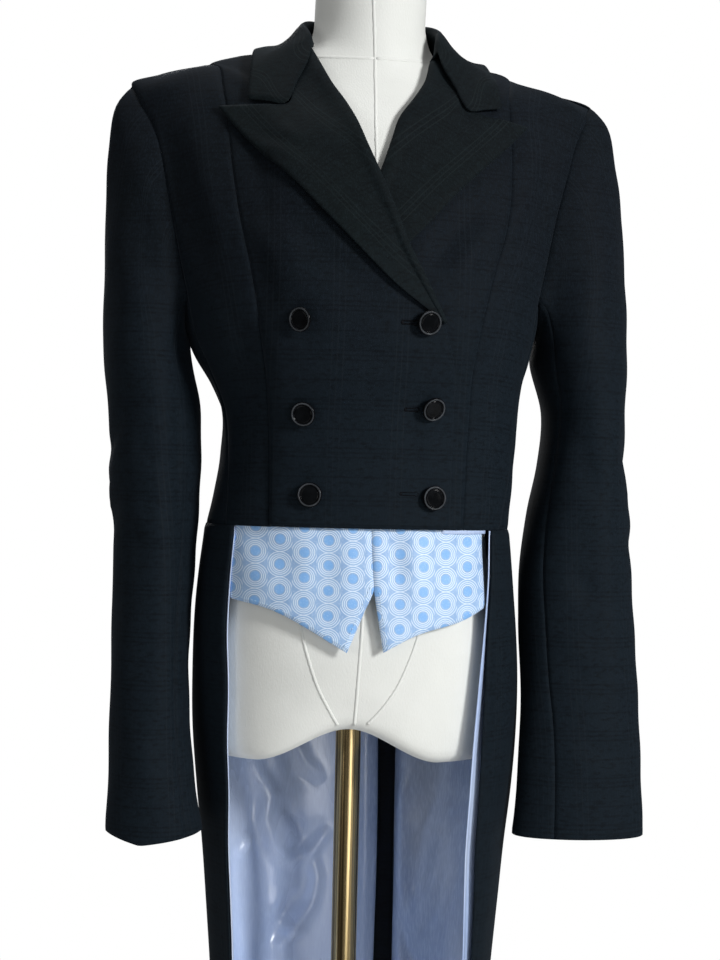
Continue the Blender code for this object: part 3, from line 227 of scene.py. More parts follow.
# The right lapel's free edge from the break point to the tip of its peak
LAPEL_EDGE = table(
    EdgePoint,
    (0.052, 1.211), (0.048, 1.2155), (0.0369, 1.2217), (0.0095, 1.242), (-0.0118, 1.2632), (-0.036, 1.2882),
    (-0.0645, 1.3191), (-0.0936, 1.3471), (-0.1258, 1.387),
)
LAPEL_NOTCH = EdgePoint(-0.0680, 1.3874)
LAPEL_MIDDLE = 0.0040
LEFT_TIP_DROP = 0.0080

FRONT_EDGE = table(
    EdgePoint,
    (0.068, HEM), (0.0713, 1.09), (0.0688, 1.147), (0.064, 1.186), (0.056, 1.208),
)
UNDER_EDGE = table(
    EdgePoint,
    (-0.062, HEM), (-0.064, 1.09), (-0.061, 1.147), (-0.056, 1.208),
)

ArmSection = namedtuple("ArmSection", "height inner outer middle half_depth twist")

# The outsides of the two sleeves from cuff to upper arm, as distances from the middle plane
RIGHT_SLEEVE = table(
    ArmSection,
    (0.782, 0.1255, 0.2065, -0.05, 0.04, 0.0),
    (0.86, 0.137, 0.2055, -0.036, 0.044, 0.0),
    (0.93, 0.14, 0.2055, -0.02, 0.047, 0.0),
    (1.0, 0.1365, 0.206, -0.006, 0.051, 0.0),
    (1.06, 0.1335, 0.209, 0.0, 0.055, 0.0),
    (1.11, 0.133, 0.2125, 0.002, 0.058, 0.0),
    (1.155, 0.137, 0.215, 0.003, 0.061, 0.0),
    (1.188, 0.146, 0.2185, 0.003, 0.063, 0.0),
)
LEFT_SLEEVE = table(
    ArmSection,
    (0.781, 0.1374, 0.2515, -0.045, 0.029, -14.0),
    (0.86, 0.145, 0.2495, -0.034, 0.034, -8.0),
    (0.93, 0.146, 0.2475, -0.02, 0.039, 0.0),
    (1.0, 0.1462, 0.246, -0.006, 0.044, 4.0),
    (1.06, 0.155, 0.242, 0.0, 0.05, 10.0),
    (1.11, 0.1645, 0.238, 0.002, 0.054, 14.0),
    (1.155, 0.1665, 0.237, 0.003, 0.059, 12.0),
    (1.188, 0.1545, 0.2375, 0.003, 0.063, 6.0),
)
SLEEVES = {RIGHT: RIGHT_SLEEVE, LEFT: LEFT_SLEEVE}

# Rows of points shared by pieces that meet: up a side seam, up an armhole, along the shoulder
# and the armhole's foot, and up the edge of a front and its roll line
SEAM_ROWS = 6
HOLE_ROWS = 8
SHOULDER_ROWS = 3
ROLL_ROWS = 12
EDGE_ROWS = SEAM_ROWS + HOLE_ROWS + SHOULDER_ROWS - ROLL_ROWS
FLOOR_COLUMNS = 6
SLEEVE_COLUMNS = 2 * HOLE_ROWS + FLOOR_COLUMNS
FRONT_SLEEVE_SEAM = HOLE_ROWS
HIND_SLEEVE_SEAM = HOLE_ROWS + FLOOR_COLUMNS + 1
ARM_ROWS = 9
CAP_ROWS = 5
CAP_LEAN = 0.012
CAP_CLIMB = 1.05
SLEEVE_HEAD = {"right": 0.062, "left": 0.070}

CollarRow = namedtuple("CollarRow", "seam_x seam_y around fold_out fold_up edge_x edge_y")

# Half of the collar from its front end to the centre back: its seam and its edge in plan, with
# distances across from the collar's middle, and the fold between them round the neck
COLLAR = table(
    CollarRow,
    (0.0462, -0.047, 50.0, 0.07, 1.44, 0.105, -0.0615),
    (0.057, -0.032, 59.0, 0.065, 1.4555, 0.102, -0.04),
    (0.06, -0.004, 90.0, 0.0582, 1.47, 0.096, -0.003),
    (0.048, 0.024, 122.0, 0.0548, 1.4785, 0.08, 0.036),
    (0.025, 0.037, 152.0, 0.0548, 1.4805, 0.044, 0.0465),
    (0.0, 0.0405, 180.0, 0.0548, 1.481, 0.0, 0.048),
)
COLLAR_STATIONS = 25
COLLAR_REST = 0.0034
STAND_REST = 0.0014
NECK_BOW = 0.0070
COLLAR_SAG = 0.0075
COLLAR_CLEAR = 0.0012

# How far the collar's corner stands from the lapel's notch: in turn, in height and outward
CornerStep = namedtuple("CornerStep", "turn rise lift")
COLLAR_CORNER = {"right": CornerStep(1.3, 0.0038, 0.0006), "left": CornerStep(1.6, 0.0045, 0.0012)}

VestPoint = namedtuple("VestPoint", "across height")

VEST_TOP = 1.066
VEST_REST = 0.0009
VEST_BEHIND = (0.046, 0.062)
VEST_SIDE = 0.1060
VEST_MIDDLE = 0.0050

# The lining that shows below the hem of the lower front: how far it reaches and how it lies
HEM_LINING_SPAN = (0.0650, 0.1060)
HEM_LINING_DROP = 0.0030
HEM_LINING_RISE = 0.0220
HEM_LINING_REST = 0.0006

# The hems of the waistcoat points, from the wearer's right to the left, and the notch between them
RIGHT_VEST_HEM = table(
    VestPoint,
    (-0.1085, 0.9797), (-0.0797, 0.9735), (-0.0515, 0.9609), (-0.014, 0.9392),
)
LEFT_VEST_HEM = table(
    VestPoint,
    (0.0171, 0.9398), (0.046, 0.9543), (0.0835, 0.9644), (0.1065, 0.9755),
)
VEST_HEMS = {RIGHT: RIGHT_VEST_HEM, LEFT: LEFT_VEST_HEM}
VEST_NOTCH = VestPoint(0.0077, 0.9911)

ButtonRow = namedtuple("ButtonRow", "name across height tilt_up tilt_side sink")

BUTTONS = table(
    ButtonRow,
    ("button_right_top", -0.0546, 1.2084, 0.0, -24.0, 0.0013),
    ("button_right_middle", -0.0507, 1.1341, 0.0, 0.0, 0.0),
    ("button_right_bottom", -0.0444, 1.0669, 0.0, 0.0, 0.0),
    ("button_left_top", 0.0421, 1.2088, 8.0, 6.0, 0.0),
    ("button_left_middle", 0.0502, 1.1414, 10.0, 8.0, 0.0008),
    ("button_left_bottom", 0.0543, 1.0666, 0.0, 0.0, 0.0),
)


def hermite(t, start, lean_in, end, lean_out):
    """The smooth curve from one end to another, each with its lean, as t goes from 0 to 1."""
    return (
        (2 * t**3 - 3 * t**2 + 1) * start + (t**3 - 2 * t**2 + t) * lean_in
        + (3 * t**2 - 2 * t**3) * end + (t**3 - t**2) * lean_out
    )


class Run:
    """A smooth value along a table: it passes through each row and never swings past one."""

    def __init__(self, places, values):
        self.places, self.values = list(places), list(values)
        steps = zip(self.places, self.places[1:], self.values, self.values[1:])
        rises = [(after - before) / (end - start) for start, end, before, after in steps]
        self.slopes = [rises[0]]
        for before, after in zip(rises, rises[1:]):
            meets = before * after > 0.0
            self.slopes.append(2.0 * before * after / (before + after) if meets else 0.0)
        self.slopes.append(rises[-1])

    def __call__(self, place):
        if place <= self.places[0]:
            return self.values[0]
        if place >= self.places[-1]:
            return self.values[-1]
        row = max(i for i, start in enumerate(self.places[:-1]) if start <= place)
        width = self.places[row + 1] - self.places[row]
        (start, end), (lean_in, lean_out) = self.values[row:row + 2], self.slopes[row:row + 2]
        return hermite((place - self.places[row]) / width, start, width * lean_in, end, width * lean_out)


def columns(rows, key):
    """One smooth run for each column of a table, read along its key column."""
    places = [getattr(row, key) for row in rows]
    names = [name for name in rows[0]._fields if name != key]
    return {name: Run(places, [getattr(row, name) for row in rows]) for name in names}


def ease(value, start, end):
    """0 before start, 1 after end and a soft step between them."""
    t = min(1.0, max(0.0, (value - start) / (end - start)))
    return t * t * (3.0 - 2.0 * t)


def last_true(low, high, test):
    """The last value between two for which a test holds, found by halving."""
    for _ in range(30):
        middle = (low + high) / 2.0
        low, high = (middle, high) if test(middle) else (low, middle)
    return low


class Body:
    """A stack of oval sections, with places given as a turn in degrees and a height."""

    def __init__(self, rows):
        self.runs = columns(rows, "height")

    def read(self, name, height):
        return self.runs[name](height)

    def bare(self, turn, height):
        """The point of the shape at a place."""
        sine, cosine = math.sin(math.radians(turn)), math.cos(math.radians(turn))
        side = self.read("left" if sine >= 0.0 else "right", height)
        depth = self.read("front" if cosine >= 0.0 else "back", height)
        corner = self.read("corner", height)
        across = side * sine * (1.0 + corner * cosine * cosine)
        forward = depth * cosine * (1.0 + corner * sine * sine)
        return Vector((self.read("shift", height) + across, -forward, height))

    def ways(self, turn, height):
        """The step round the body for one degree and the step up it for two millimetres, at a place."""
        around = self.bare(turn + 0.5, height) - self.bare(turn - 0.5, height)
        return around, self.bare(turn, height + 0.001) - self.bare(turn, height - 0.001)

    def normal(self, turn, height):
        """The direction that points away from the body at a place."""
        around, upward = self.ways(turn, height)
        return around.cross(upward).normalized()

    def point(self, turn, height, out=0.0):
        return self.bare(turn, height) + self.normal(turn, height) * out

    def front(self, across, height):
        """The place on the front that lies a distance across from the middle plane."""
        offset = across - self.read("shift", height)
        side = self.read("left" if offset >= 0.0 else "right", height)
        corner = self.read("corner", height)
        share = min(1.0, abs(offset) / side)
        sine = last_true(0.0, 1.0, lambda sine: sine * (1.0 + corner * (1.0 - sine * sine)) < share)
        return (math.copysign(math.degrees(math.asin(sine)), offset), height)

    def top(self, across, forward):
        """The height of the shoulders over a point of the plan."""

        def inside(height):
            offset = across - self.read("shift", height)
            turn = self.front(across, height)[0]
            limit = abs(self.bare(turn if forward < 0.0 else 180.0 - turn, height).y)
            side = self.read("left" if offset > 0.0 else "right", height)
            return abs(offset) < side and abs(forward) < limit

        return last_true(*SHOULDER_BAND, inside)

    def back(self, across, height):
        """The place on the back; turns past 180 carry on round the centre back."""
        turn = self.front(across, height)[0]
        return (180.0 - turn, height)


coat = Body(COAT)
form = Body(FORM)


def softened(edge, steps=8):
    """A smooth line of places through the points of an edge."""
    ends = [edge[0], *edge, edge[-1]]
    line = [
        tuple(hermite(step / steps, b, (c - a) / 2.0, c, (d - b) / 2.0) for a, b, c, d in zip(*four))
        for four in zip(ends, ends[1:], ends[2:], ends[3:]) for step in range(steps)
    ]
    return line + [tuple(edge[-1])]


def spread(line, count):
    """Evenly spaced places along a line, count + 1 of them."""
    lengths = [0.0]
    for here, there in zip(line, line[1:]):
        lengths.append(lengths[-1] + (coat.bare(*there) - coat.bare(*here)).length)
    places = []
    for step in range(count + 1):
        goal = lengths[-1] * step / count
        index = max(i for i, length in enumerate(lengths[:-1]) if length <= goal + 1e-12)
        run = lengths[index + 1] - lengths[index]
        t = (goal - lengths[index]) / run if run > 0.0 else 0.0
        here, there = line[index], line[index + 1]
        places.append(tuple(a + (b - a) * t for a, b in zip(here, there)))
    return places


def shares(turn, height, offset):
    """A small offset from a place on the coat as a change of turn and a change of height."""
    around, upward = coat.ways(turn, height)
    upward = upward * 500.0
    mixed = around.dot(upward)
    area = around.dot(around) * upward.dot(upward) - mixed * mixed
    turn_share = (offset.dot(around) * upward.dot(upward) - offset.dot(upward) * mixed) / area
    rise_share = (offset.dot(upward) * around.dot(around) - offset.dot(around) * mixed) / area
    return turn_share, rise_share


# The steps by which a place is sought, and the longest turn and rise of one step
SEEK_STEPS = 12
SEEK_TURN = 6.0
SEEK_RISE = 0.008


def settled(goal, place):
    """The place on the coat nearest to a point, sought from a place close by."""
    turn, height = place
    for _ in range(SEEK_STEPS):
        turn_share, rise_share = shares(turn, height, goal - coat.bare(turn, height))
        turn += max(-SEEK_TURN, min(SEEK_TURN, turn_share))
        height += max(-SEEK_RISE, min(SEEK_RISE, rise_share))
        height = min(height, COAT[-1].height - 0.001)
    return turn, height


def straight(start, end, steps, bow=0.0):
    """Places along the line from one place to another, bowed away from the neck by a distance."""
    here, there = coat.bare(*start), coat.bare(*end)
    line = [start]
    for step in range(1, steps):
        t = step / steps
        goal = here.lerp(there, t)
        away = Vector((goal.x - NECK_CENTRE.x, goal.y - NECK_CENTRE.y, 0.0)).normalized()
        line.append(settled(goal + away * bow * 4.0 * t * (1.0 - t), line[-1]))
    return line + [end]


def patch(bottom, top, near, far):
    """Places that fill the space between four edges of matching ends."""
    rows, count = len(near) - 1, len(bottom) - 1
    low, high, start, end = [[coat.bare(*place) for place in edge] for edge in (bottom, top, near, far)]
    grid = [list(bottom)]
    for row in range(1, rows):
        v = row / rows
        line = [near[row]]
        for column in range(1, count):
            u = column / count
            ruled_up = low[column] * (1 - v) + high[column] * v
            ruled_across = start[row] * (1 - u) + end[row] * u
            foot, head = low[0] * (1 - u) + low[-1] * u, high[0] * (1 - u) + high[-1] * u
            line.append(settled(ruled_up + ruled_across - (foot * (1 - v) + head * v), line[-1]))
        grid.append(line + [far[row]])
    return grid + [list(top)]


def filled(near, far, count, low=None, high=None):
    """Places between two rising edges; an end that isn't given runs straight across."""
    low = low or spread([near[0], far[0]], count)
    return patch(low, high or spread([near[-1], far[-1]], count), near, far)


def aside(edge, distance):
    """A rising edge moved squarely to its side, toward greater turns, by a distance in metres."""
    moved = []
    for index, (turn, height) in enumerate(edge):
        before, after = edge[max(index - 1, 0)], edge[min(index + 1, len(edge) - 1)]
        along = (coat.bare(*after) - coat.bare(*before)).normalized()
        square = along.cross(coat.normal(turn, height)).normalized() * distance
        turn_share, rise_share = shares(turn, height, square)
        moved.append((turn + turn_share, height + rise_share))
    return moved


def raised(grid, out, extra=0.0):
    """The points over a grid of places, at the distance that out gives and a little extra."""
    return [[coat.point(turn, height, out(turn, height) + extra) for turn, height in row] for row in grid]


def trimmed(points, start, end):
    """A grid of points with its first and last columns drawn in by two distances."""
    lines = [list(line) for line in points]
    for line in lines:
        line[0] = line[0] + (line[1] - line[0]).normalized() * start
        line[-1] = line[-1] + (line[-2] - line[-1]).normalized() * end
    return lines


def side_name(sign):
    return "left" if sign > 0 else "right"


def princess_line(sign):
    """The princess seam from the hem up to the shoulder."""
    side = side_name(sign)
    line = [coat.front(sign * getattr(row, side), row.height) for row in PRINCESS]
    top = PRINCESS_TOP[side]
    line.append(coat.front(sign * PRINCESS_SHOULDER, top - 0.006))
    return softened(line + [(sign * 90.0, top)])


def armhole_line(column, sign):
    """One side of the armhole from the side body up to the shoulder tip."""
    line = [(sign * getattr(row, column), row.height) for row in ARMHOLE]
    return spread(softened(line + [(sign * 90.0, SHOULDER_TIP[side_name(sign)])]), HOLE_ROWS)


def seam_and_armhole(column, sign, shift):
    """A seam of the side body and the armhole above it, moved toward the back by a distance."""
    seam = [(sign * getattr(row, column), row.height) for row in SIDE_SEAMS]
    seam.append((sign * getattr(ARMHOLE[0], column), ARMHOLE[0].height))
    low = spread(softened(seam), SEAM_ROWS)
    return aside(low[:-1] + armhole_line(column, sign), sign * shift)


def armhole_floor(sign):
    """The foot of the armhole over the side body, from its front to its back corner."""
    front, back = ARMHOLE[0].front, ARMHOLE[0].back
    ramp = (FLOOR_RAMP, UNDERARM + FLOOR_RISE)
    line = softened([
        (sign * front, ARMHOLE[0].height), (sign * (front + ramp[0]), ramp[1]),
        (sign * (front + back) / 2.0, UNDERARM),
        (sign * (back - ramp[0]), ramp[1]), (sign * back, ARMHOLE[0].height),
    ])
    return spread(line, FLOOR_COLUMNS)


def flat_out(turn, height):
    """Cloth that lies straight on the body shape."""
    return 0.0


def right_front_out(turn, height):
    """The upper front climbs over the lower front, and over that front's lapel above the waist."""
    across = coat.bare(turn, height).x
    over_front = FRONT_STEP * ease(across, *CLIMB_FRONT)
    over_lapel = LAPEL_STEP - FRONT_STEP
    below = ease(height, *CLIMB_LOW) * (1.0 - ease(height, *CLIMB_HIGH))
    return (over_front + over_lapel * below * ease(across, *CLIMB_LAPEL)) * (1.0 - ease(height, *CLIMB_END))


def mirrored_edge(points, sign):
    """Places of an edge given for the right front, swapped over for the left front."""
    middle = 2 * LAPEL_MIDDLE
    return [coat.front(across if sign < 0 else middle - across, height) for across, height in points]


def with_shoulder(edge, turn):
    """An edge that reaches the shoulder, carried on along the shoulder seam to the neck."""
    tip = (turn, edge[-1][1])
    return edge[:-1] + spread([tip, (turn, NECK_POINT)], SHOULDER_ROWS)


def front_panel(sign, edge, out, count=10):
    """A front from its princess seam to its front edge and roll line."""
    low = spread(softened(mirrored_edge(edge, RIGHT)), EDGE_ROWS)
    opening = low[:-1] + spread(softened(mirrored_edge(ROLL_LINE, sign)), ROLL_ROWS)
    seam = aside(spread(princess_line(sign), SEAM_ROWS + HOLE_ROWS), -sign * PRINCESS_GAP / 2)
    seam = with_shoulder(seam, sign * (90.0 - GAP_TURN))
    grid = filled(opening, seam, count, high=straight(opening[-1], seam[-1], count, NECK_BOW))
    laid("front_" + side_name(sign), grid, out, CLOTH, NAVY)


def side_front(sign, count=4):
    """The panel between the princess seam and the side body or armhole."""
    inner = aside(spread(princess_line(sign), SEAM_ROWS + HOLE_ROWS), sign * PRINCESS_GAP / 2)
    outer = seam_and_armhole("front", sign, -GAP / 2)
    for line in (inner, outer):
        line[-1] = (sign * (90.0 - GAP_TURN), line[-1][1])
    laid("side_front_" + side_name(sign), filled(inner, outer, count), flat_out, CLOTH, NAVY)


def side_body(sign):
    """The panel under the arm."""
    near = seam_and_armhole("front", sign, GAP / 2)[:SEAM_ROWS + 1]
    far = seam_and_armhole("back", sign, -GAP / 2)[:SEAM_ROWS + 1]
    floor = [near[-1], *armhole_floor(sign)[1:-1], far[-1]]
    laid("side_body_" + side_name(sign), filled(near, far, FLOOR_COLUMNS, high=floor), flat_out, CLOTH, NAVY)


def back_panel(sign, count=8):
    """A back from the side body and armhole to the centre back."""
    near = with_shoulder(seam_and_armhole("back", sign, GAP / 2), sign * (90.0 + GAP_TURN))
    middle = [(sign * 180.0, HEM), (sign * 180.0, NECK_BACK)]
    far = aside(spread(middle, len(near) - 1), -sign * GAP / 2)
    neck = spread([near[-1], (sign * 130.0, NECK_BACK), far[-1]], count)
    laid("back_" + side_name(sign), filled(near, far, count, high=neck), flat_out, CLOTH, NAVY)


def rolled(grid, base, sign):
    """The middle of a lapel's wall; its far column wraps round the front's edge in a soft roll."""
    rest = CLOTH + LAPEL_REST + CLOTH / 2
    lines = raised([row[:-1] for row in grid], base, rest)
    for index, line in enumerate(lines):
        turn, height = grid[index][-1]
        normal = coat.normal(turn, height)
        edge = coat.point(turn, height, base(turn, height) + CLOTH / 2)
        opened = ease(height, ROLL_LINE[0].height, ROLL_LINE[2].height)
        radius = ROLL * (ROLL_EASED + (1.0 - ROLL_EASED) * opened)
        above, below = grid[min(index + 1, len(grid) - 1)][-1], grid[max(index - 1, 0)][-1]
        along = (coat.bare(*above) - coat.bare(*below)).normalized()
        outward = along.cross(normal).normalized() * -sign
        for angle in (math.pi, 0.75 * math.pi, 0.5 * math.pi, 0.25 * math.pi, 0.0):
            line.append(edge + outward * (ROLL_START + radius * math.sin(angle))
                        + normal * radius * (1.0 - math.cos(angle)))
    return lines


def around_neck(around, outward, height):
    """A point round the neck: the turn from the front, the distance out and the height."""
    angle = math.radians(around)
    return NECK_CENTRE + Vector((outward * math.sin(angle), -outward * math.cos(angle), height))


def on_shoulder(across, forward, lift):
    """A point over the coat's shoulders at a point of the plan."""
    turn, height = coat.front(across, coat.top(across, forward))
    return coat.point(turn if forward < 0.0 else math.copysign(180.0, turn) - turn, height, lift)


# How far along the collar, in rows of its table, the notch's lift fades, the fall's sag begins and
# is full, and the square end gives way to the curve
NOTCH_FADE = 1.5
SAG_FADE = (0.6, 1.8)
END_FADE = 0.9


def collar_half(sign):
    """Lines across the collar from its front end to the centre back, on one side."""
    keys = range(len(COLLAR))
    runs = {name: Run(keys, [getattr(row, name) for row in COLLAR]) for name in CollarRow._fields}
    half = COLLAR_STATIONS // 2
    lift = CLOTH + COLLAR_REST + CLOTH / 2
    turn, height = mirrored_edge([LAPEL_NOTCH], sign)[0]
    step = COLLAR_CORNER[side_name(sign)]
    corner = coat.point(turn + sign * step.turn, height + step.rise, lift + step.lift)
    lines = []
    for station in range(half + 1):
        key = station * (len(COLLAR) - 1) / half
        row = CollarRow(*(runs[name](key) for name in CollarRow._fields))
        raised_end = lift + step.lift * (1.0 - ease(key, 0.0, NOTCH_FADE))
        seam_lift = CLOTH + STAND_REST + CLOTH / 2
        seam = on_shoulder(NECK_CENTRE.x + sign * row.seam_x, row.seam_y, seam_lift)
        edge = on_shoulder(NECK_CENTRE.x + sign * row.edge_x, row.edge_y, raised_end)
        fold = around_neck(sign * row.around, row.fold_out, row.fold_up)
        outward = Vector((fold.x - NECK_CENTRE.x, fold.y - NECK_CENTRE.y, 0.0)).normalized()
        inner, crown, outer = fold - outward * ROLL, fold + Vector((0, 0, ROLL)), fold + outward * ROLL
        sag = COLLAR_SAG * ease(key, *SAG_FADE)
        fall = []
        for share in (0.25, 0.50, 0.75):
            point = outer.lerp(edge, share)
            rest = on_shoulder(point.x, point.y, lift).z + COLLAR_CLEAR
            point.z = max(min(point.z, rest), point.z - sag * math.sin(math.pi * share))
            fall.append(point)
        at_end = 1.0 - ease(key, 0.0, END_FADE)
        middle = fall[1].lerp(corner, at_end)
        quarter = fall[0].lerp((outer + middle) / 2.0, at_end)
        third = fall[2].lerp((middle + edge) / 2.0, at_end)
        lines.append([seam, (seam + inner) / 2.0, inner, crown, outer, quarter, middle, third, edge])
    return lines


def armhole_loop(sign):
    """Places round an armhole: down its front from the shoulder tip and up its back."""
    front = armhole_line("front", sign)
    back = armhole_line("back", sign)
    return list(reversed(front))[:-1] + armhole_floor(sign)[:-1] + back[:-1]


def sleeve_rings(sign):
    """The outside of a sleeve, ring by ring from its cuff to the armhole."""
    rows = SLEEVES[sign]
    runs = columns(rows, "height")
    turns = [2.0 * math.pi * column / SLEEVE_COLUMNS for column in range(SLEEVE_COLUMNS)]
    rings = []
    for row in range(ARM_ROWS + 1):
        height = rows[0].height + (rows[-1].height - rows[0].height) * row / ARM_ROWS
        inner, outer, middle, depth, twist = [run(height) for run in runs.values()]
        centre, half = (inner + outer) / 2.0, (outer - inner) / 2.0
        angles = [turn + math.radians(twist) for turn in turns]
        rings.append([
            Vector((sign * (centre + half * math.cos(angle)), middle - depth * math.sin(angle), height))
            for angle in angles
        ])
    loop = armhole_loop(sign)
    hole_middle = sum((coat.bare(*place) for place in loop), Vector()) / len(loop)
    ends, leans = [], []
    for turn, place in zip(turns, loop):
        normal = coat.normal(*place)
        point = coat.point(*place, CLOTH)
        inward = hole_middle - point
        inward = (inward - normal * inward.dot(normal)).normalized()
        topness = (1.0 + math.cos(turn)) / 2.0
        ends.append(point + inward * GAP)
        leans.append(normal * CAP_LEAN + Vector((sign, 0.0, 0.0)) * SLEEVE_HEAD[side_name(sign)] * topness)
    base = rings[-1]
    for row in range(1, CAP_ROWS + 1):
        ring = []
        for start, end, lean in zip(base, ends, leans):
            climb = Vector((0.0, 0.0, CAP_CLIMB * max(CAP_LEAN, end.z - start.z)))
            ring.append(hermite(row / CAP_ROWS, start, climb, end, -lean))
        rings.append(ring)
    return rings


def tail_edge(sign):
    """The front edge of a tail from its hem to the waist seam."""
    side = side_name(sign)
    return softened([coat.front(sign * getattr(row, side), row.height) for row in TAIL_EDGE])


def vent_edge(sign, across):
    """An edge of the back vent; its distance across the back is negative past the centre."""
    places = [coat.back(across, TAIL_HEM + (HEM - GAP - TAIL_HEM) * step / 8) for step in range(9)]
    return [(sign * turn, height) for turn, height in places]


def tail_grid(front, vent, count, rows=13):
    """Places between a tail's front edge, or a line nearer the back, and its vent edge."""
    near, far = spread(front, rows), spread(vent, rows)
    for line in (near, far):
        line[0] = (line[0][0], TAIL_HEM)
        line[-1] = (line[-1][0], HEM - GAP)
    return filled(near, far, count)


def right_tail_out(turn, height):
    """The right tail lies over its lining."""
    return SATIN + GAP


def left_tail_out(turn, height):
    """The left tail climbs over the right one near the centre back."""
    across = coat.bare(turn, height).x if turn > 90.0 else 1.0
    lap = 1.0 - ease(across, VENT_UNDERLAP + VENT_FACING, VENT_UNDERLAP + VENT_CLIMB)
    return SATIN + GAP + (CLOTH + SATIN + LAP_REST) * lap


def left_lining_out(turn, height):
    """The left lining and the vent's facing keep to the inside of their tail."""
    return left_tail_out(turn, height) - GAP - SATIN


def vest_out(turn, height):
    """The waistcoat points lie inside the fronts, and behind the lining at the wearer's left."""
    across = coat.bare(turn, height).x
    return -VEST_REST - PRINT - (SATIN + GAP) * ease(across, *VEST_BEHIND)


def arch_lift(across, height):
    """The form's lower edge rises in an arch between the hips."""
    share = max(0.0, 1.0 - abs(across - ARCH_MIDDLE) / ARCH_HALF_WIDTH)
    fade = 1.0 - ease(height, *ARCH_FADE)
    return ARCH_RISE * share * share * (3.0 - 2.0 * share) * fade


def arched(point):
    """A point of the form raised with the arch of its lower edge."""
    point.z += arch_lift(point.x, point.z)
    return point


# Fine spacing of the visible cloth, and the soft finish of its edges
CLOTH_STEP = 0.0042
LINING_STEP = 0.0034
EDGE_PULL = 0.28
SEAM_DIP = 0.0010
SEAM_DIP_WIDTH = 0.0022
FREE_DIP = 0.0003
FREE_DIP_WIDTH = 0.0016
SEAM_TURN = 0.0006
LINING_EASE = 0.0006

# How far in from an edge the folds, the waves and the lining's creases come to their full size
FOLD_BORDER = 0.006
WAVE_BORDER = 0.014
CREASE_BORDER = 0.010

# The least share of its cut that a piece may fill, and where each edge of a grid lies: its axis,
# its own line and the line beside it
LEAST_SHARE = 0.301
SEAM_ENDS = {"start": (1, 0, 1), "end": (1, -1, -2), "low": (0, 0, 1), "high": (0, -1, -2)}

# A fold fades toward its ends, and has a shallow partner on one side
FOLD_TAPER = 0.7
PARTNER_AWAY = 1.7
PARTNER_WIDTH = 1.2
PARTNER_DEPTH = 0.45
PARTNER_REACH = 5

# How soon a fold shows as the cloth turns toward the side that it's seen from
TURN_TO_LOOK = 2.5
Fold = namedtuple("Fold", "look path width depth")

# The axis across each view, and the way the cloth faces there
LOOKS = {
    "front": (0, np.array((0.0, -1.0, 0.0))),
    "back": (0, np.array((0.0, 1.0, 0.0))),
    "right": (1, np.array((-1.0, 0.0, 0.0))),
    "left": (1, np.array((1.0, 0.0, 0.0))),
}


def folds(look, *rows):
    """Folds seen from one side: each row is a width, a depth and a path of points, in millimetres."""
    return [Fold(look, np.array(path) / 1000, width / 1000, depth / 1000) for width, depth, *path in rows]


def places_between(gaps, spacing):
    """Places along the lines of a grid, each gap parted into equal steps."""
    places = [0.0]
    for index, gap in enumerate(gaps):
        count = max(1, math.ceil(gap / spacing))
        places += [index + (step + 1) / count for step in range(count)]
    places[-1] = float(len(gaps))
    return np.array(places)


def smooth_along(points, gaps, places):
    """Points at places on the smooth curves that run through a grid along its first axis."""
    gaps = np.maximum(np.array(gaps), 1e-6)[:, None, None]
    rises = np.diff(points, axis=0) / gaps
    slopes = np.empty_like(points)
    slopes[0], slopes[-1] = rises[0], rises[-1]
    slopes[1:-1] = (rises[:-1] * gaps[1:] + rises[1:] * gaps[:-1]) / (gaps[:-1] + gaps[1:])
    index = np.minimum(places.astype(int), len(gaps) - 1)
    t = (places - index)[:, None, None]
    width = gaps[index]
    return (
        (2 * t**3 - 3 * t**2 + 1) * points[index] + (t**3 - 2 * t**2 + t) * slopes[index] * width
        + (3 * t**2 - 2 * t**3) * points[index + 1] + (t**3 - t**2) * slopes[index + 1] * width
    )


def fine(points, spacing):
    """A grid of points made fine enough to show folds."""
    grid = np.array([[tuple(point) for point in line] for line in points])
    for _ in range(2):
        gaps = np.linalg.norm(np.diff(grid, axis=0), axis=2).mean(axis=1)
        grid = smooth_along(grid, gaps, places_between(gaps, spacing)).transpose(1, 0, 2)
    return grid


def unit(vectors):
    return vectors / np.maximum(np.linalg.norm(vectors, axis=-1, keepdims=True), 1e-12)


def facing(grid, centre):
    """The direction away from the wearer at each point of a grid."""
    normal = unit(np.cross(np.gradient(grid, axis=1), np.gradient(grid, axis=0)))
    away = grid - centre
    away[..., 2] = 0.0
    return normal if (normal * away).sum() > 0.0 else -normal


def run_lengths(grid, axis):
    """How far each point lies along its line from the start, and the length of the whole line."""
    steps = np.linalg.norm(np.diff(grid, axis=axis), axis=2)
    pad = [(0, 0), (0, 0)]
    pad[axis] = (1, 0)
    lengths = np.pad(steps.cumsum(axis=axis), pad)
    return lengths, lengths.take([-1], axis=axis)


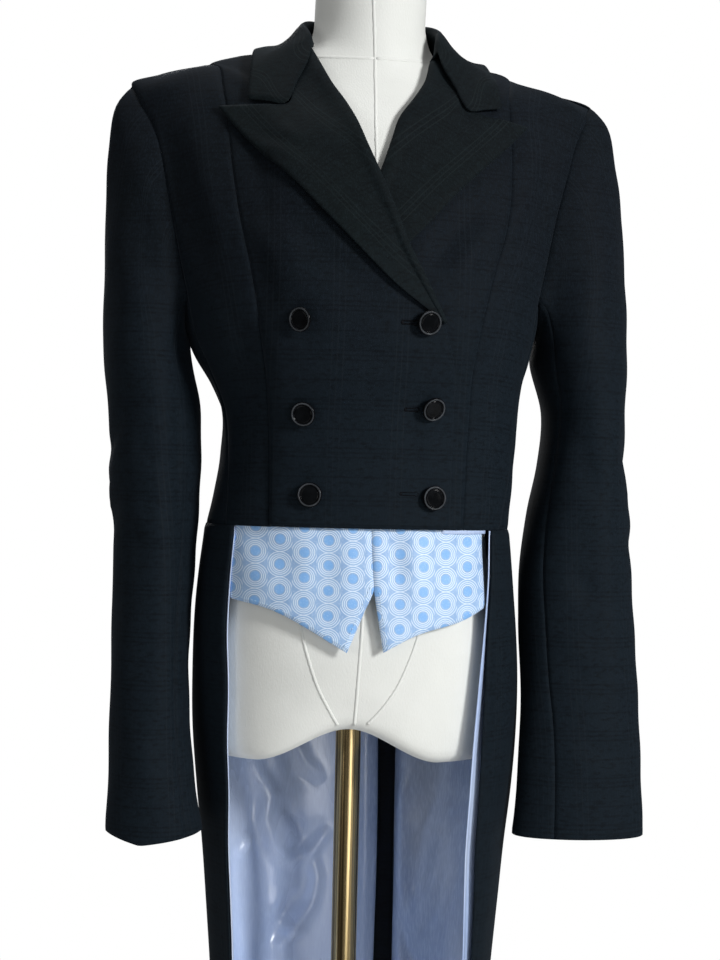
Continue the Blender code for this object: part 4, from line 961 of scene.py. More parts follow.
def folded(grid, normal, folds_seen):
    """How far each point is moved outward by folds, each a soft ridge or trough along a path."""
    out = np.zeros(grid.shape[:2])
    for fold in folds_seen:
        across, look = LOOKS[fold.look]
        place = np.stack((grid[..., across], grid[..., 2]), axis=-1)
        steps = np.diff(fold.path, axis=0)
        lengths = np.linalg.norm(steps, axis=1)
        nearest = np.full(out.shape, np.inf)
        along, side = np.zeros(out.shape), np.zeros(out.shape)
        run = 0.0
        for start, step, length in zip(fold.path, steps, lengths):
            offset = place - start
            t = np.clip((offset @ step) / length**2, 0.0, 1.0)
            distance = np.linalg.norm(offset - t[..., None] * step, axis=-1)
            closer = distance < nearest
            nearest = np.where(closer, distance, nearest)
            along = np.where(closer, (run + t * length) / lengths.sum(), along)
            turned = (offset[..., 0] * step[1] - offset[..., 1] * step[0]) / length
            side = np.where(closer, turned, side)
            run += length
        taper = np.sin(np.pi * np.clip(along, 0.0, 1.0)) ** FOLD_TAPER
        shape = np.exp(-((nearest / fold.width) ** 2))
        partner = np.exp(-(((side - PARTNER_AWAY * fold.width) / (PARTNER_WIDTH * fold.width)) ** 2))
        partner *= nearest < PARTNER_REACH * fold.width
        seen = np.clip((normal @ look) * TURN_TO_LOOK, 0.0, 1.0)
        out += fold.depth * taper * (shape - PARTNER_DEPTH * partner) * seen
    return out


def wavy(grid, height, length, seed):
    """The slight unevenness of worn cloth, from a few long waves that cross."""
    waves = np.zeros(grid.shape[:2])
    for order in range(5):
        turn = seed * 1.7 + order * 2.399
        direction = np.array((math.cos(turn), math.sin(turn * 1.3), 0.6 + math.cos(turn * 0.7)))
        pitch = length * (0.6 + 0.35 * order)
        waves += np.sin(grid @ direction * (2.0 * math.pi / pitch) + turn * 3.1) / (1.0 + 0.6 * order)
    return height * waves / 2.2


def placed(name, mesh, material, slot, *nodes, data=None):
    """Put a finished mesh in the scene as a smooth piece on the body, standing for its nodes."""
    data = data or bpy.data.meshes.new(name)
    bmesh.ops.recalc_face_normals(mesh, faces=mesh.faces)
    mesh.to_mesh(data)
    mesh.free()
    data.shade_smooth()
    data.materials.append(material)
    piece = bpy.data.objects.new(name, data)
    bpy.context.scene.collection.objects.link(piece)
    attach(piece, "root")
    if nodes:
        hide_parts(*nodes)
    return piece


def shell(name, over, under, uv, material, slot, node):
    """A thin closed sheet between two fine grids, with a rounded rim."""
    rows, count = over.shape[:2]
    index = np.arange(rows * count).reshape(rows, count)
    loop = np.concatenate((index[0, :], index[1:, -1], index[-1, -2::-1], index[-2:0:-1, 0]))
    inner = index[1:-1, 1:-1]
    inner = inner[np.clip(loop // count - 1, 0, rows - 3), np.clip(loop % count - 1, 0, count - 3)]
    tops, bottoms = over.reshape(-1, 3).copy(), under.reshape(-1, 3).copy()
    rim = (tops[loop] + bottoms[loop]) / 2.0
    thick = np.linalg.norm(tops[loop] - bottoms[loop], axis=1, keepdims=True)
    outward = unit(rim - (tops[inner] + bottoms[inner]) / 2.0)
    tops[loop] -= outward * thick * EDGE_PULL
    bottoms[loop] -= outward * thick * EDGE_PULL
    low = rows * count
    corners = np.stack((index[:-1, :-1], index[:-1, 1:], index[1:, 1:], index[1:, :-1]), axis=-1)
    faces, places = [], []
    for a, b, c, d in corners.reshape(-1, 4).tolist():
        faces += [(a, b, c, d), (low + a, low + d, low + c, low + b)]
        places += [a, b, c, d, a, d, c, b]
    loop = loop.tolist()
    for step, here in enumerate(loop):
        there = loop[(step + 1) % len(loop)]
        edge, ahead = 2 * low + step, 2 * low + (step + 1) % len(loop)
        faces += [(there, here, edge, ahead), (ahead, edge, low + here, low + there)]
        places += [there, here, here, there, there, here, here, there]
    data = bpy.data.meshes.new(name)
    data.from_pydata(np.concatenate((tops, bottoms, rim)).tolist(), [], faces)
    data.uv_layers.new(name="cut").data.foreach_set("uv", uv.reshape(-1, 2)[np.array(places)].ravel())
    mesh = bmesh.new()
    mesh.from_mesh(data)
    return placed(name, mesh, material, slot, node, data=data)


def middle_grain(grid, across, width, along):
    """The cloth's threads run down the middle of a piece and level."""
    return across - width / 2.0, grid[..., 2].copy()


def upright_grain(grid, across, width, along):
    """The cloth's threads hang upright and level."""
    return grid[..., 0].copy(), grid[..., 2].copy()


def edge_grain(grid, across, width, along):
    """The cloth's threads run along the first edge of a piece."""
    return across, along + 0.0 * across


# The left shoulder's pad lifts the cloth: how far, and where that begins and is full, across and up
PAD_LIFT = 0.0046
PAD_ACROSS = (0.070, 0.115)
PAD_HEIGHTS = (1.372, 1.404)


def padded_shoulder(grid):
    """Lift the cloth over the pad of the left shoulder."""
    share = 1.0
    for axis, (start, full) in ((0, PAD_ACROSS), (2, PAD_HEIGHTS)):
        t = np.clip((grid[..., axis] - start) / (full - start), 0.0, 1.0)
        share = share * t * t * (3.0 - 2.0 * t)
    grid[..., 2] += PAD_LIFT * share
    return grid


def sewn(name, points, thickness, material, slot, rests_on, seams=(), folds_seen=(),
         wave=(0.0004, 0.09), spacing=CLOTH_STEP, centre=None, grain=None, move=None, proud=0.0, seed=None,
         creases=()):
    """A piece of cloth through a grid of points, with its folds, edges and cut.

    Its creases only ever sink, so that a lining stays clear of the cloth outside it.
    """
    grid = padded_shoulder(fine(points, spacing))
    if move is not None:
        grid = move(grid)
    middle = grid * np.array((0.0, 0.0, 1.0)) if centre is None else centre(grid)
    normal = facing(grid, middle)
    across, width = run_lengths(grid, 1)
    along, length = run_lengths(grid, 0)
    edges = {"start": across, "end": width - across, "low": along, "high": length - along}
    nearest = np.minimum.reduce(list(edges.values()))
    out = folded(grid, normal, folds_seen) * np.clip(nearest / FOLD_BORDER, 0.0, 1.0)
    waves = wavy(grid, wave[0], wave[1], seed or len(name) + ord(name[-2]))
    out += waves * np.clip(nearest / WAVE_BORDER, 0.0, 1.0)
    if creases:
        sunk = folded(grid, normal, creases)
        sunk -= max(0.0, float(sunk.max())) + LINING_EASE
        out += sunk * np.clip(nearest / CREASE_BORDER, 0.0, 1.0)
    for edge, distance in edges.items():
        dip, reach = (SEAM_DIP, SEAM_DIP_WIDTH) if edge in seams else (FREE_DIP, FREE_DIP_WIDTH)
        out -= dip * np.exp(-((distance / reach) ** 2))
    for edge in seams:
        axis, outer, inner = SEAM_ENDS[edge]
        rims = grid.swapaxes(0, axis)
        rims[outer] += unit(rims[outer] - rims[inner]) * SEAM_TURN
    grid = grid + normal * out[..., None]
    normal = facing(grid, middle)
    cut = np.stack((grain or middle_grain)(grid, across, width, along), axis=-1)
    over, under = grid + normal * thickness * proud, grid - normal * thickness * (1.0 - proud)
    piece = shell(name + "_cloth", over, under, cut, material, slot, name)
    span, rise = float(width.max()), float(length.max())
    cells = np.cross(grid[1:, :-1] - grid[:-1, :-1], grid[:-1, 1:] - grid[:-1, :-1])
    area = float(np.linalg.norm(cells, axis=2).sum())
    area = min(1.0, max(LEAST_SHARE, area / (span * rise))) * span * rise


def sleeve_middle(sign):
    """The middle line of a sleeve, from which its cloth faces away."""
    rows = SLEEVES[sign]
    heights = [row.height for row in rows]

    def centre(grid):
        middle, height = grid.copy(), grid[..., 2]
        middle[..., 0] = sign * np.interp(height, heights, [(row.inner + row.outer) / 2 for row in rows])
        middle[..., 1] = np.interp(height, heights, [row.middle for row in rows])
        return middle

    return centre


class Value:
    """A number or a vector socket of a material, with arithmetic."""

    def __init__(self, paint, socket):
        self.paint, self.socket = paint, socket

    def __add__(self, other):
        return self.paint.math("ADD", self, other)

    def __sub__(self, other):
        return self.paint.math("SUBTRACT", self, other)

    def __rsub__(self, other):
        return self.paint.math("SUBTRACT", other, self)

    def __mul__(self, other):
        return self.paint.math("MULTIPLY", self, other)

    def __truediv__(self, other):
        return self.paint.math("DIVIDE", self, other)

    __radd__ = __add__
    __rmul__ = __mul__


class Paint:
    """A material, its shader and the nodes that feed it."""

    def __init__(self, name, **fixed):
        self.material = bpy.data.materials.new(name)
        self.material.use_nodes = True
        self.tree = self.material.node_tree
        self.shader = self.tree.nodes["Principled BSDF"]
        for socket, value in fixed.items():
            self.shader.inputs[socket.replace("_", " ")].default_value = value

    def node(self, kind, settings, inputs, output=0):
        """Add a node: its settings are set first, then the values or links of its sockets."""
        node = self.tree.nodes.new("ShaderNode" + kind)
        for name, value in settings.items():
            setattr(node, name, value)
        for socket, value in inputs.items():
            if isinstance(value, Value):
                self.tree.links.new(value.socket, node.inputs[socket])
            else:
                node.inputs[socket].default_value = value
        return Value(self, node.outputs[output])

    def math(self, operation, first, second=0.0):
        return self.node("Math", {"operation": operation}, {0: first, 1: second})

    def between(self, share, first, second):
        """A colour that goes from the first to the second as a share goes from 0 to 1."""
        first, second = [value if isinstance(value, Value) else (*value, 1.0) for value in (first, second)]
        return self.node("Mix", {"data_type": "RGBA"}, {0: share, 6: first, 7: second}, 2)

    def over(self, shade, mask, start, end, most, colour):
        """A shade with another colour laid over it, at its most where a mask is past its end."""
        return self.between(self.step(mask, start, end) * most, shade, colour)

    def inside(self):
        """The place of a point in the object."""
        return self.node("TexCoord", {}, {}, 3)

    def noise(self, scale, detail=2.0, stretch=None, rough=0.5):
        """Soft random patches over the object, between 0 and 1."""
        place = self.inside()
        if stretch is not None:
            place = self.node("VectorMath", {"operation": "MULTIPLY"}, {0: place, 1: stretch})
        inputs = {"Vector": place, "Scale": scale, "Detail": detail, "Roughness": rough}
        return self.node("TexNoise", {}, inputs)

    def parts(self, vector):
        """The three parts of a vector."""
        outputs = self.node("SeparateXYZ", {}, {0: vector}).socket.node.outputs
        return [Value(self, output) for output in outputs]

    def cut(self):
        """Distances along and up the cut of a piece, in metres."""
        return self.parts(self.node("UVMap", {"uv_map": "cut"}, {}))[:2]

    def lines(self, distance, pitch, offsets, width):
        """Fine lines that repeat at a pitch: 1 on a line, 0 beside it."""
        total = 0.0
        for offset in offsets:
            turn = self.math("FRACT", (distance - offset) / pitch + 0.5)
            away = self.math("ABSOLUTE", turn - 0.5) * pitch
            total += self.math("MAXIMUM", 1.0 - away / width, 0.0)
        return total

    def step(self, value, start, end):
        """0 before start, 1 after end and a soft step between them."""
        return self.node("MapRange", {"interpolation_type": "SMOOTHSTEP"}, {0: value, 1: start, 2: end})

    def feed(self, **sockets):
        for name, value in sockets.items():
            self.tree.links.new(value.socket, self.shader.inputs[name.replace("_", " ")])

    def bump(self, height, strength, distance):
        inputs = {"Height": height, "Strength": strength, "Distance": distance}
        self.feed(Normal=self.node("Bump", {}, inputs))


def gained(tone, *gains):
    """A tone made lighter or darker by one gain, or by a gain for each of its colours."""
    return [min(1.0, part * gain) for part, gain in zip(tone, gains * (3 // len(gains)))]


def wool(name, body, line, band, tint):
    """Fine navy wool with a faint check of light lines and dark bands, and painted light that makes its lower
    part lighter.
    """
    paint = Paint(name, Roughness=0.78, Sheen_Weight=0.04, Sheen_Roughness=0.45,
                  Sheen_Tint=(0.45, 0.55, 0.70, 1.0), Specular_IOR_Level=0.07)
    u, v = paint.cut()
    upright = paint.lines(u, CHECK_ACROSS, (0.0190, 0.0236, 0.0284), 0.00085)
    faint = paint.lines(u, CHECK_ACROSS, (0.0420, 0.0455), 0.00070)
    level = paint.lines(v, CHECK_UP, (0.0060, 0.0098, 0.0136, 0.0290), 0.00110)
    worn = paint.step(paint.noise(11.0), 0.30, 0.75)
    slub = paint.noise(900.0, 1.0, (1.0, 1.0, 0.28), 0.7)
    thread = paint.noise(420.0, 2.0, (0.35, 0.35, 1.0), 0.6)
    shade = paint.between(paint.step(paint.noise(7.0, 3.0), 0.35, 0.70), body, tint)
    # Painted light: the cloth is painted lighter below 1.10 m, fading to its own tone above 1.34 m
    height = paint.parts(paint.inside())[2]
    shade = paint.between(paint.step(height, 1.10, 1.34), gained(body, 1.35, 1.62, 1.60), shade)
    shade = paint.over(shade, slub, 0.40, 0.75, 0.55, gained(body, 2.5))
    shade = paint.over(shade, thread, 0.45, 0.75, 0.55, gained(body, 0.40))
    shade = paint.between(level * 0.36, shade, band)
    shade = paint.between((upright * 0.55 + faint * 0.16) * (worn * 0.55 + 0.45), shade, line)
    paint.feed(Base_Color=shade, Roughness=paint.step(slub, 0.2, 0.9) * 0.14 + 0.70)
    paint.bump(slub * 0.6 + thread * 0.5 + upright * 0.25, 0.30, 0.00045)
    return paint.material


def satin(name, bright, deep):
    """Blue satin lining with painted light: lit and shaded tones mixed in soft streaks as painted sheen, and
    painted shade that makes it deeper toward the top of the tails and on the wearer's left tail.
    """
    paint = Paint(name, Sheen_Weight=0.10, Sheen_Roughness=0.35, Specular_IOR_Level=0.85)
    across, forward, height = paint.parts(paint.inside())
    hind = paint.step(forward, -0.01, 0.03)
    cloud = paint.noise(9.0, 3.0, (1.0, 1.0, 0.45))
    painted_light_streak = paint.noise(14.0, 3.0, (1.0, 1.0, 0.30))
    weave = paint.noise(700.0, 1.0, (1.0, 1.0, 0.15))
    # Painted sheen: the lit and the shaded tone mixed in soft upright streaks
    shade = paint.between(paint.step(painted_light_streak, 0.30, 0.72), deep, bright)
    # Painted shade on the hind parts only: darker toward the top of the tails and on the wearer's left tail
    high = paint.step(height, 0.70, 0.90) * 0.45 * hind
    left = paint.step(across, 0.0, 0.06) * 0.42 * hind
    shade = paint.between(high + left, shade, gained(deep, 0.42))
    shade = paint.over(shade, cloud, 0.52, 0.70, 0.40, (0.50, 0.54, 0.60))
    shade = paint.over(shade, weave, 0.35, 0.8, 0.18, gained(bright, 1.25))
    paint.feed(Base_Color=shade, Roughness=paint.step(painted_light_streak, 0.2, 0.8) * 0.12 + 0.20)
    paint.bump(weave * 0.3 + painted_light_streak, 0.22, 0.0012)
    return paint.material


def printed(name):
    """Pale blue cotton with rows of ringed dots in half-drop."""
    paint = Paint(name, Roughness=0.55, Sheen_Weight=0.08)
    u, v = paint.cut()
    drop = paint.math("FRACT", paint.math("FLOOR", u / PRINT_ACROSS) * 0.5) * PRINT_UP
    x = (paint.math("FRACT", u / PRINT_ACROSS) - 0.5) * PRINT_ACROSS
    y = (paint.math("FRACT", (v + drop) / PRINT_UP) - 0.5) * PRINT_UP
    away = paint.math("SQRT", x * x + y * y)
    shade = paint.between(paint.step(paint.noise(55.0), 0.3, 0.7), (0.23, 0.38, 0.63), (0.30, 0.46, 0.71))
    for radius, width, colour in PRINT_RINGS:
        ring = paint.math("ABSOLUTE", away - radius)
        shade = paint.between(1.0 - paint.step(ring, width * 0.5, width * 1.3), shade, colour)
    shade = paint.between(1.0 - paint.step(away, 0.0034, 0.0041), shade, (0.19, 0.41, 0.76))
    weave = paint.noise(800.0, 1.0)
    paint.feed(Base_Color=paint.over(shade, weave, 0.45, 0.8, 0.20, (0.70, 0.80, 0.92)))
    paint.bump(weave, 0.25, 0.0004)
    return paint.material


def jersey(name):
    """Off-white knitted jersey stretched smooth."""
    paint = Paint(name, Roughness=0.86, Sheen_Weight=0.12, Specular_IOR_Level=0.25)
    knit = paint.noise(850.0, 1.0, (1.0, 1.0, 0.45))
    cloudy = paint.step(paint.noise(16.0, 3.0), 0.3, 0.75)
    shade = paint.between(cloudy, (0.66, 0.67, 0.64), (0.72, 0.73, 0.70))
    paint.feed(Base_Color=paint.over(shade, knit, 0.42, 0.8, 0.30, (0.70, 0.72, 0.70)))
    paint.bump(knit, 0.30, 0.0005)
    return paint.material


def brass(name):
    """Brass tube with painted reflections: long bright and dark upright streaks painted as reflections, small
    dark flecks and fine scratches.
    """
    paint = Paint(name, Metallic=1.0)
    painted_light_streak = paint.noise(230.0, 1.0, (1.0, 1.0, 0.004))
    dark_reflection_band = paint.noise(520.0, 1.0, (1.0, 1.0, 0.006))
    fleck = paint.noise(300.0, 2.0, (1.0, 1.0, 0.35))
    scratch = paint.noise(700.0, 1.0, (1.0, 1.0, 0.03))
    # Painted reflections: long upright bright and dark streaks, with narrower dark bands laid over them
    shade = paint.between(paint.step(painted_light_streak, 0.42, 0.58), (0.115, 0.078, 0.034), (0.58, 0.44, 0.22))
    shade = paint.over(shade, dark_reflection_band, 0.52, 0.62, 0.55, (0.055, 0.036, 0.016))
    shade = paint.over(shade, fleck, 0.62, 0.80, 0.35, (0.16, 0.11, 0.05))
    paint.feed(Base_Color=shade, Roughness=paint.step(painted_light_streak, 0.2, 0.8) * 0.12 + 0.20)
    paint.bump(scratch, 0.08, 0.0003)
    return paint.material


def brushed(name):
    """Plain brushed brass of the base, a little cloudy."""
    paint = Paint(name, Metallic=1.0)
    cloudy, grain = paint.noise(9.0, 3.0), paint.noise(90.0)
    shade = paint.between(paint.step(cloudy, 0.3, 0.7), (0.36, 0.27, 0.13), (0.46, 0.35, 0.18))
    shade = paint.over(shade, grain, 0.4, 0.8, 0.15, (0.26, 0.19, 0.09))
    paint.feed(Base_Color=shade, Roughness=paint.step(cloudy, 0.2, 0.8) * 0.10 + 0.34)
    paint.bump(grain, 0.05, 0.0003)
    return paint.material


def horn(name, tone, shine):
    """Polished black button material, a little cloudy; with a paler tone it is also the highlight painted on
    the button's rim.
    """
    paint = Paint(name, Coat_Roughness=0.10, Specular_IOR_Level=0.06)
    cloudy = paint.noise(130.0)
    shade = paint.between(paint.step(cloudy, 0.35, 0.75), tone, gained(tone, 1.8))
    wear = paint.step(cloudy, 0.3, 0.8)
    paint.feed(Base_Color=shade, Roughness=wear * 0.06 + shine, Coat_Weight=wear * 0.02)
    paint.bump(cloudy, 0.03, 0.0002)
    return paint.material


def twist(name, tone, gloss):
    """Sewing thread."""
    paint = Paint(name, Roughness=0.6, Specular_IOR_Level=gloss)
    ply = paint.noise(1500.0, 1.0)
    paint.feed(Base_Color=paint.between(ply, tone, gained(tone, 2.0)))
    paint.bump(ply, 0.4, 0.0003)
    return paint.material


def plain_floor(name):
    """The studio floor's matt paint."""
    paint = Paint(name, Roughness=0.9)
    paint.feed(Base_Color=paint.between(paint.noise(1.5, 1.0), (0.80, 0.80, 0.79), (0.83, 0.83, 0.82)))
    return paint.material


Cloth = namedtuple("Cloth", "material slot")

# How often the wool's check and the waistcoat's print repeat
CHECK_ACROSS = 0.0520
CHECK_UP = 0.0390
PRINT_ACROSS = 0.0196
PRINT_UP = 0.0204

# The rings round a dot of the print, as radius, width and colour
PRINT_RINGS = (
    (0.0101, 0.00034, (0.64, 0.75, 0.88)),
    (0.0090, 0.00040, (0.30, 0.46, 0.70)),
    (0.0082, 0.00036, (0.66, 0.77, 0.89)),
    (0.0067, 0.00040, (0.62, 0.74, 0.88)),
    (0.0052, 0.00036, (0.68, 0.78, 0.89)),
)

# Each wool's body, the lines and the bands of its check, and its cloudy tint
NAVY_WOOL = wool(
    "navy wool",
    (0.0032, 0.0051, 0.0077), (0.0092, 0.0130, 0.0172), (0.0010, 0.0014, 0.0024), (0.0028, 0.0050, 0.0068),
)
LAPEL_WOOL = wool(
    "navy wool of the lapels",
    (0.0032, 0.0052, 0.0064), (0.0125, 0.0182, 0.0192), (0.0010, 0.0015, 0.0022), (0.0026, 0.0054, 0.0058),
)
DARK_FACING = wool(
    "dark facing",
    (0.0030, 0.0034, 0.0050), (0.006, 0.007, 0.009), (0.0015, 0.0015, 0.002), (0.0034, 0.0038, 0.0050),
)
# The satin's lit tone and its shaded tone, for its painted sheen and shade
SATIN_BLUE = satin("blue satin lining", (0.56, 0.66, 0.88), (0.34, 0.45, 0.70))
PALE_PRINT = printed("pale blue print")
OFF_WHITE = jersey("off-white jersey")
POLE_BRASS = brass("brass")
BASE_BRASS = brushed("brushed brass")
BUTTON_BLACK = horn("black button", (0.0024, 0.0028, 0.0034), 0.12)
# A paler tone painted on the top of the buttons' rims as a highlight
RIM_HIGHLIGHT = horn("painted rim highlight", (0.0300, 0.0330, 0.0370), 0.24)
DARK_THREAD = twist("navy thread", (0.0016, 0.0020, 0.0030), 0.08)
BLUE_THREAD = twist("pale blue thread", (0.35, 0.46, 0.62), 0.30)


# The folds placed on each piece of the coat
BODY_FOLDS = {
    "front_right": folds(
        "front",
        (15, 3.4, (-100, 1292), (-64, 1240), (-22, 1200)),
        (9, -1.4, (-72, 1296), (-36, 1258), (4, 1226)),
        (9, -1, (36, 1185), (10, 1178), (-20, 1182)),
        (8, 1.2, (58, 1160), (50, 1120), (52, 1080)),
        (10, -1, (-66, 1120), (-40, 1105), (-10, 1108)),
        (11, 1, (30, 1092), (0, 1086), (-36, 1094)),
        (9, 1.2, (-100, 1330), (-92, 1290), (-94, 1250)),
    ),
    "front_left": folds(
        "front",
        (10, -1.8, (90, 1306), (66, 1284), (46, 1252), (40, 1236)),
        (11, 4, (108, 1296), (86, 1274), (64, 1240)),
        (7, -1.4, (74, 1180), (78, 1130), (74, 1090)),
        (8, 1.2, (90, 1180), (78, 1150), (84, 1100)),
    ),
    "side_front_right": folds(
        "front",
        (13, -3.8, (-172, 1372), (-150, 1300), (-128, 1232)),
        (12, 2.4, (-150, 1392), (-136, 1330), (-122, 1270)),
        (10, -1.8, (-118, 1222), (-104, 1180), (-98, 1130)),
        (9, 2, (-140, 1250), (-120, 1200), (-106, 1150)),
    ),
    "side_front_left": folds(
        "front",
        (12, -2.2, (158, 1360), (146, 1310), (134, 1262)),
        (10, 1.6, (140, 1380), (134, 1330), (130, 1290)),
        (9, 1.8, (126, 1220), (120, 1180), (116, 1130)),
    ),
    "back_right": folds(
        "back",
        (10, -1.6, (-30, 1120), (-60, 1105), (-95, 1112)),
        (11, 1.4, (-20, 1085), (-55, 1078), (-92, 1088)),
        (14, -1.8, (-140, 1330), (-110, 1290), (-80, 1270)),
    ),
    "back_left": folds(
        "back",
        (10, -1.7, (28, 1130), (60, 1112), (96, 1120)),
        (11, 1.3, (22, 1092), (58, 1086), (96, 1100)),
        (14, -2, (145, 1340), (112, 1300), (78, 1282)),
    ),
    "waistcoat_point_right": folds(
        "front",
        (10, 1.6, (-18, 1050), (-14, 1010), (-18, 960)),
        (11, -1.6, (-100, 1045), (-78, 1020), (-56, 1000)),
        (10, 1, (-52, 1050), (-46, 1020), (-50, 985)),
    ),
    "waistcoat_point_left": folds(
        "front",
        (9, -1.5, (22, 1050), (26, 1015), (28, 975)),
        (9, 1.6, (36, 1050), (40, 1015), (46, 980)),
        (11, -1.3, (90, 1045), (74, 1015), (66, 990)),
    ),
    "side_body_right": folds("right", (10, -1.6, (-20, 1170), (10, 1130), (40, 1100))),
    "side_body_left": folds("left", (10, -1.5, (-20, 1160), (10, 1120), (50, 1100))),
}

SLEEVE_FOLDS = {
    "right": folds(
        "front",
        (12, 2.4, (-170, 1165), (-164, 1020), (-160, 860)),
        (12, -2.6, (-148, 1205), (-150, 1100), (-146, 990)),
        (13, -2.8, (-200, 1330), (-186, 1270), (-172, 1225)),
        (10, -1.8, (-190, 1120), (-172, 1092), (-150, 1082)),
        (9, 1.6, (-194, 1060), (-176, 1036), (-152, 1030)),
        (11, 2, (-186, 880), (-176, 850), (-168, 806)),
    ) + folds(
        "right",
        (10, -2.2, (-45, 1130), (-10, 1100), (20, 1104)),
        (10, 1.8, (-40, 1080), (-4, 1056), (24, 1064)),
    ) + folds(
        "back",
        (12, -2.2, (-200, 1250), (-190, 1200), (-180, 1150)),
        (9, -2, (-190, 1110), (-176, 1090), (-160, 1096)),
    ),
    "left": folds(
        "front",
        (13, -2.4, (238, 1300), (216, 1240), (200, 1190)),
        (13, 2.2, (212, 1150), (214, 1020), (222, 900)),
        (10, -1.6, (186, 1130), (200, 1080), (222, 1060)),
        (9, -1.6, (180, 1010), (202, 984), (232, 978)),
        (9, 1.4, (176, 950), (200, 930), (238, 934)),
        (10, -1.4, (186, 870), (212, 852), (240, 856)),
    ) + folds(
        "left",
        (10, -2.2, (-40, 1120), (-6, 1094), (24, 1100)),
        (10, 1.8, (-36, 1060), (-2, 1040), (26, 1050)),
    ) + folds(
        "back",
        (12, -2.2, (226, 1250), (214, 1200), (200, 1150)),
        (9, -2, (220, 1110), (206, 1090), (186, 1096)),
    ),
}

TAIL_FOLDS = {
    "right": folds(
        "front",
        (10, 2, (-118, 1010), (-126, 940), (-124, 860)),
        (10, -1.8, (-112, 850), (-114, 740), (-106, 620)),
    ) + folds(
        "back",
        (16, -2.8, (-60, 1000), (-66, 860), (-58, 640)),
        (15, 2.6, (-100, 980), (-98, 820), (-86, 600)),
    ) + folds(
        "right",
        (18, -2.6, (20, 1010), (30, 860), (26, 600)),
    ),
    "left": folds(
        "front",
        (10, -2, (120, 1010), (124, 940), (120, 850)),
        (10, 1.8, (114, 860), (112, 740), (102, 620)),
    ) + folds(
        "back",
        (16, -2.8, (66, 1000), (70, 860), (60, 640)),
        (15, 2.6, (104, 990), (100, 820), (88, 600)),
    ) + folds(
        "left",
        (18, -2.6, (24, 1010), (34, 860), (28, 600)),
    ),
}


LAPEL_FOLDS = {
    "right": folds(
        "front",
        (12, 1, (-104, 1352), (-76, 1330), (-40, 1330)),
        (9, -0.8, (18, 1262), (0, 1268), (-20, 1280)),
    ),
    "left": folds(
        "front",
        (12, 1.2, (104, 1350), (78, 1326), (46, 1318)),
        (10, -1, (84, 1312), (58, 1290), (30, 1280)),
    ),
}


# The creases of the satin, which sink into it
LINING_FOLDS = {
    "right": folds(
        "back",
        (5.5, -4.6, (-4, 758), (-20, 738), (-34, 729), (-44, 726)),
        (6, -5, (-24, 738), (-17, 710), (-21, 688), (-37, 668)),
        (7.5, -4.8, (-20, 692), (-36, 668), (-50, 650), (-52, 620)),
        (5, -3.6, (-60, 684), (-56, 672), (-40, 662), (-26, 664)),
        (6, -3.4, (-62, 796), (-71, 766), (-60, 740), (-34, 718)),
        (4.2, -3.2, (-76, 757), (-86, 748), (-94, 734)),
        (8.5, 4.8, (-92, 830), (-80, 780), (-68, 720), (-62, 650)),
        (6.5, 3.6, (-80, 850), (-66, 812), (-50, 790)),
        (7, -3.6, (-48, 850), (-30, 816), (-10, 800)),
        (6, 3.4, (-50, 780), (-36, 760), (-30, 744)),
        (7, 4, (-40, 700), (-46, 684), (-60, 664)),
        (8, -4, (-94, 700), (-88, 640), (-76, 580)),
        (9, 4.6, (-60, 590), (-40, 550), (-44, 490)),
        (8, -4, (-24, 620), (-16, 570), (-22, 510)),
    ),
    "left": folds(
        "back",
        (7, -3.4, (72, 812), (60, 776), (54, 740)),
        (8.5, 4, (96, 800), (80, 760), (70, 700)),
        (8, -3.6, (100, 760), (96, 720), (84, 670)),
        (8, 3.6, (62, 690), (70, 650), (86, 620)),
        (9, -4, (92, 620), (78, 570), (80, 500)),
    ),
}


Lay = namedtuple("Lay", "held seams grain spacing")

# How each kind of piece hangs, which of its edges are sewn down, and how its threads run
LAYS = {
    "side_front": Lay("draped", ("start", "end", "high"), edge_grain, CLOTH_STEP),
    "side_body": Lay("draped", ("start", "end", "high"), middle_grain, CLOTH_STEP),
    "front_hem": Lay("hung", (), middle_grain, LINING_STEP),
    "front": Lay("draped", ("end", "high"), upright_grain, CLOTH_STEP),
    "back": Lay("draped", ("start", "end", "high"), upright_grain, CLOTH_STEP),
    "tail_lining": Lay("hung", (), middle_grain, LINING_STEP),
    "tail": Lay("hung", ("high",), middle_grain, CLOTH_STEP),
    "vent_facing": Lay("hung", (), middle_grain, LINING_STEP),
    "waistcoat_point": Lay("hung", (), upright_grain, CLOTH_STEP),
}

# Both layers of a tail wave alike; the waistcoat points are also sewn to each other in the middle
TAIL_SEED = 7
MIDDLE_SEAM = {"waistcoat_point_right": ("end",), "waistcoat_point_left": ("start",)}
NAVY = Cloth(NAVY_WOOL, "navy_wool")
VENT_FACE = Cloth(DARK_FACING, "navy_wool")
BLUE_SATIN = Cloth(SATIN_BLUE, "blue_satin")
BLUE_PRINT = Cloth(PALE_PRINT, "blue_print")


def laid(name, grid, out, thickness, look, start=0.0, end=0.0):
    """A piece of cloth on its own solid's shape; out gives its inner face's distance at a place."""
    lay = next(LAYS[key] for key in LAYS if name.startswith(key))
    side = name.split("_")[-1]
    points = trimmed(raised(grid, out, thickness), start, end)
    if name.startswith("tail_lining"):
        for line in points:
            line[0] += (line[0] - line[1]).normalized() * float(np.interp(line[0].z, *LINING_SHOWS[side]))
    hangs = "tail" in name or name.startswith("vent")
    sewn(name, points, thickness, look.material, look.slot, ["dress_form"],
         MIDDLE_SEAM.get(name, lay.seams), TAIL_FOLDS[side] if hangs else BODY_FOLDS.get(name, ()),
         spacing=lay.spacing, grain=lay.grain, seed=TAIL_SEED if hangs else None,
         creases=LINING_FOLDS[side] if name.startswith(("tail_lining", "vent")) else ())


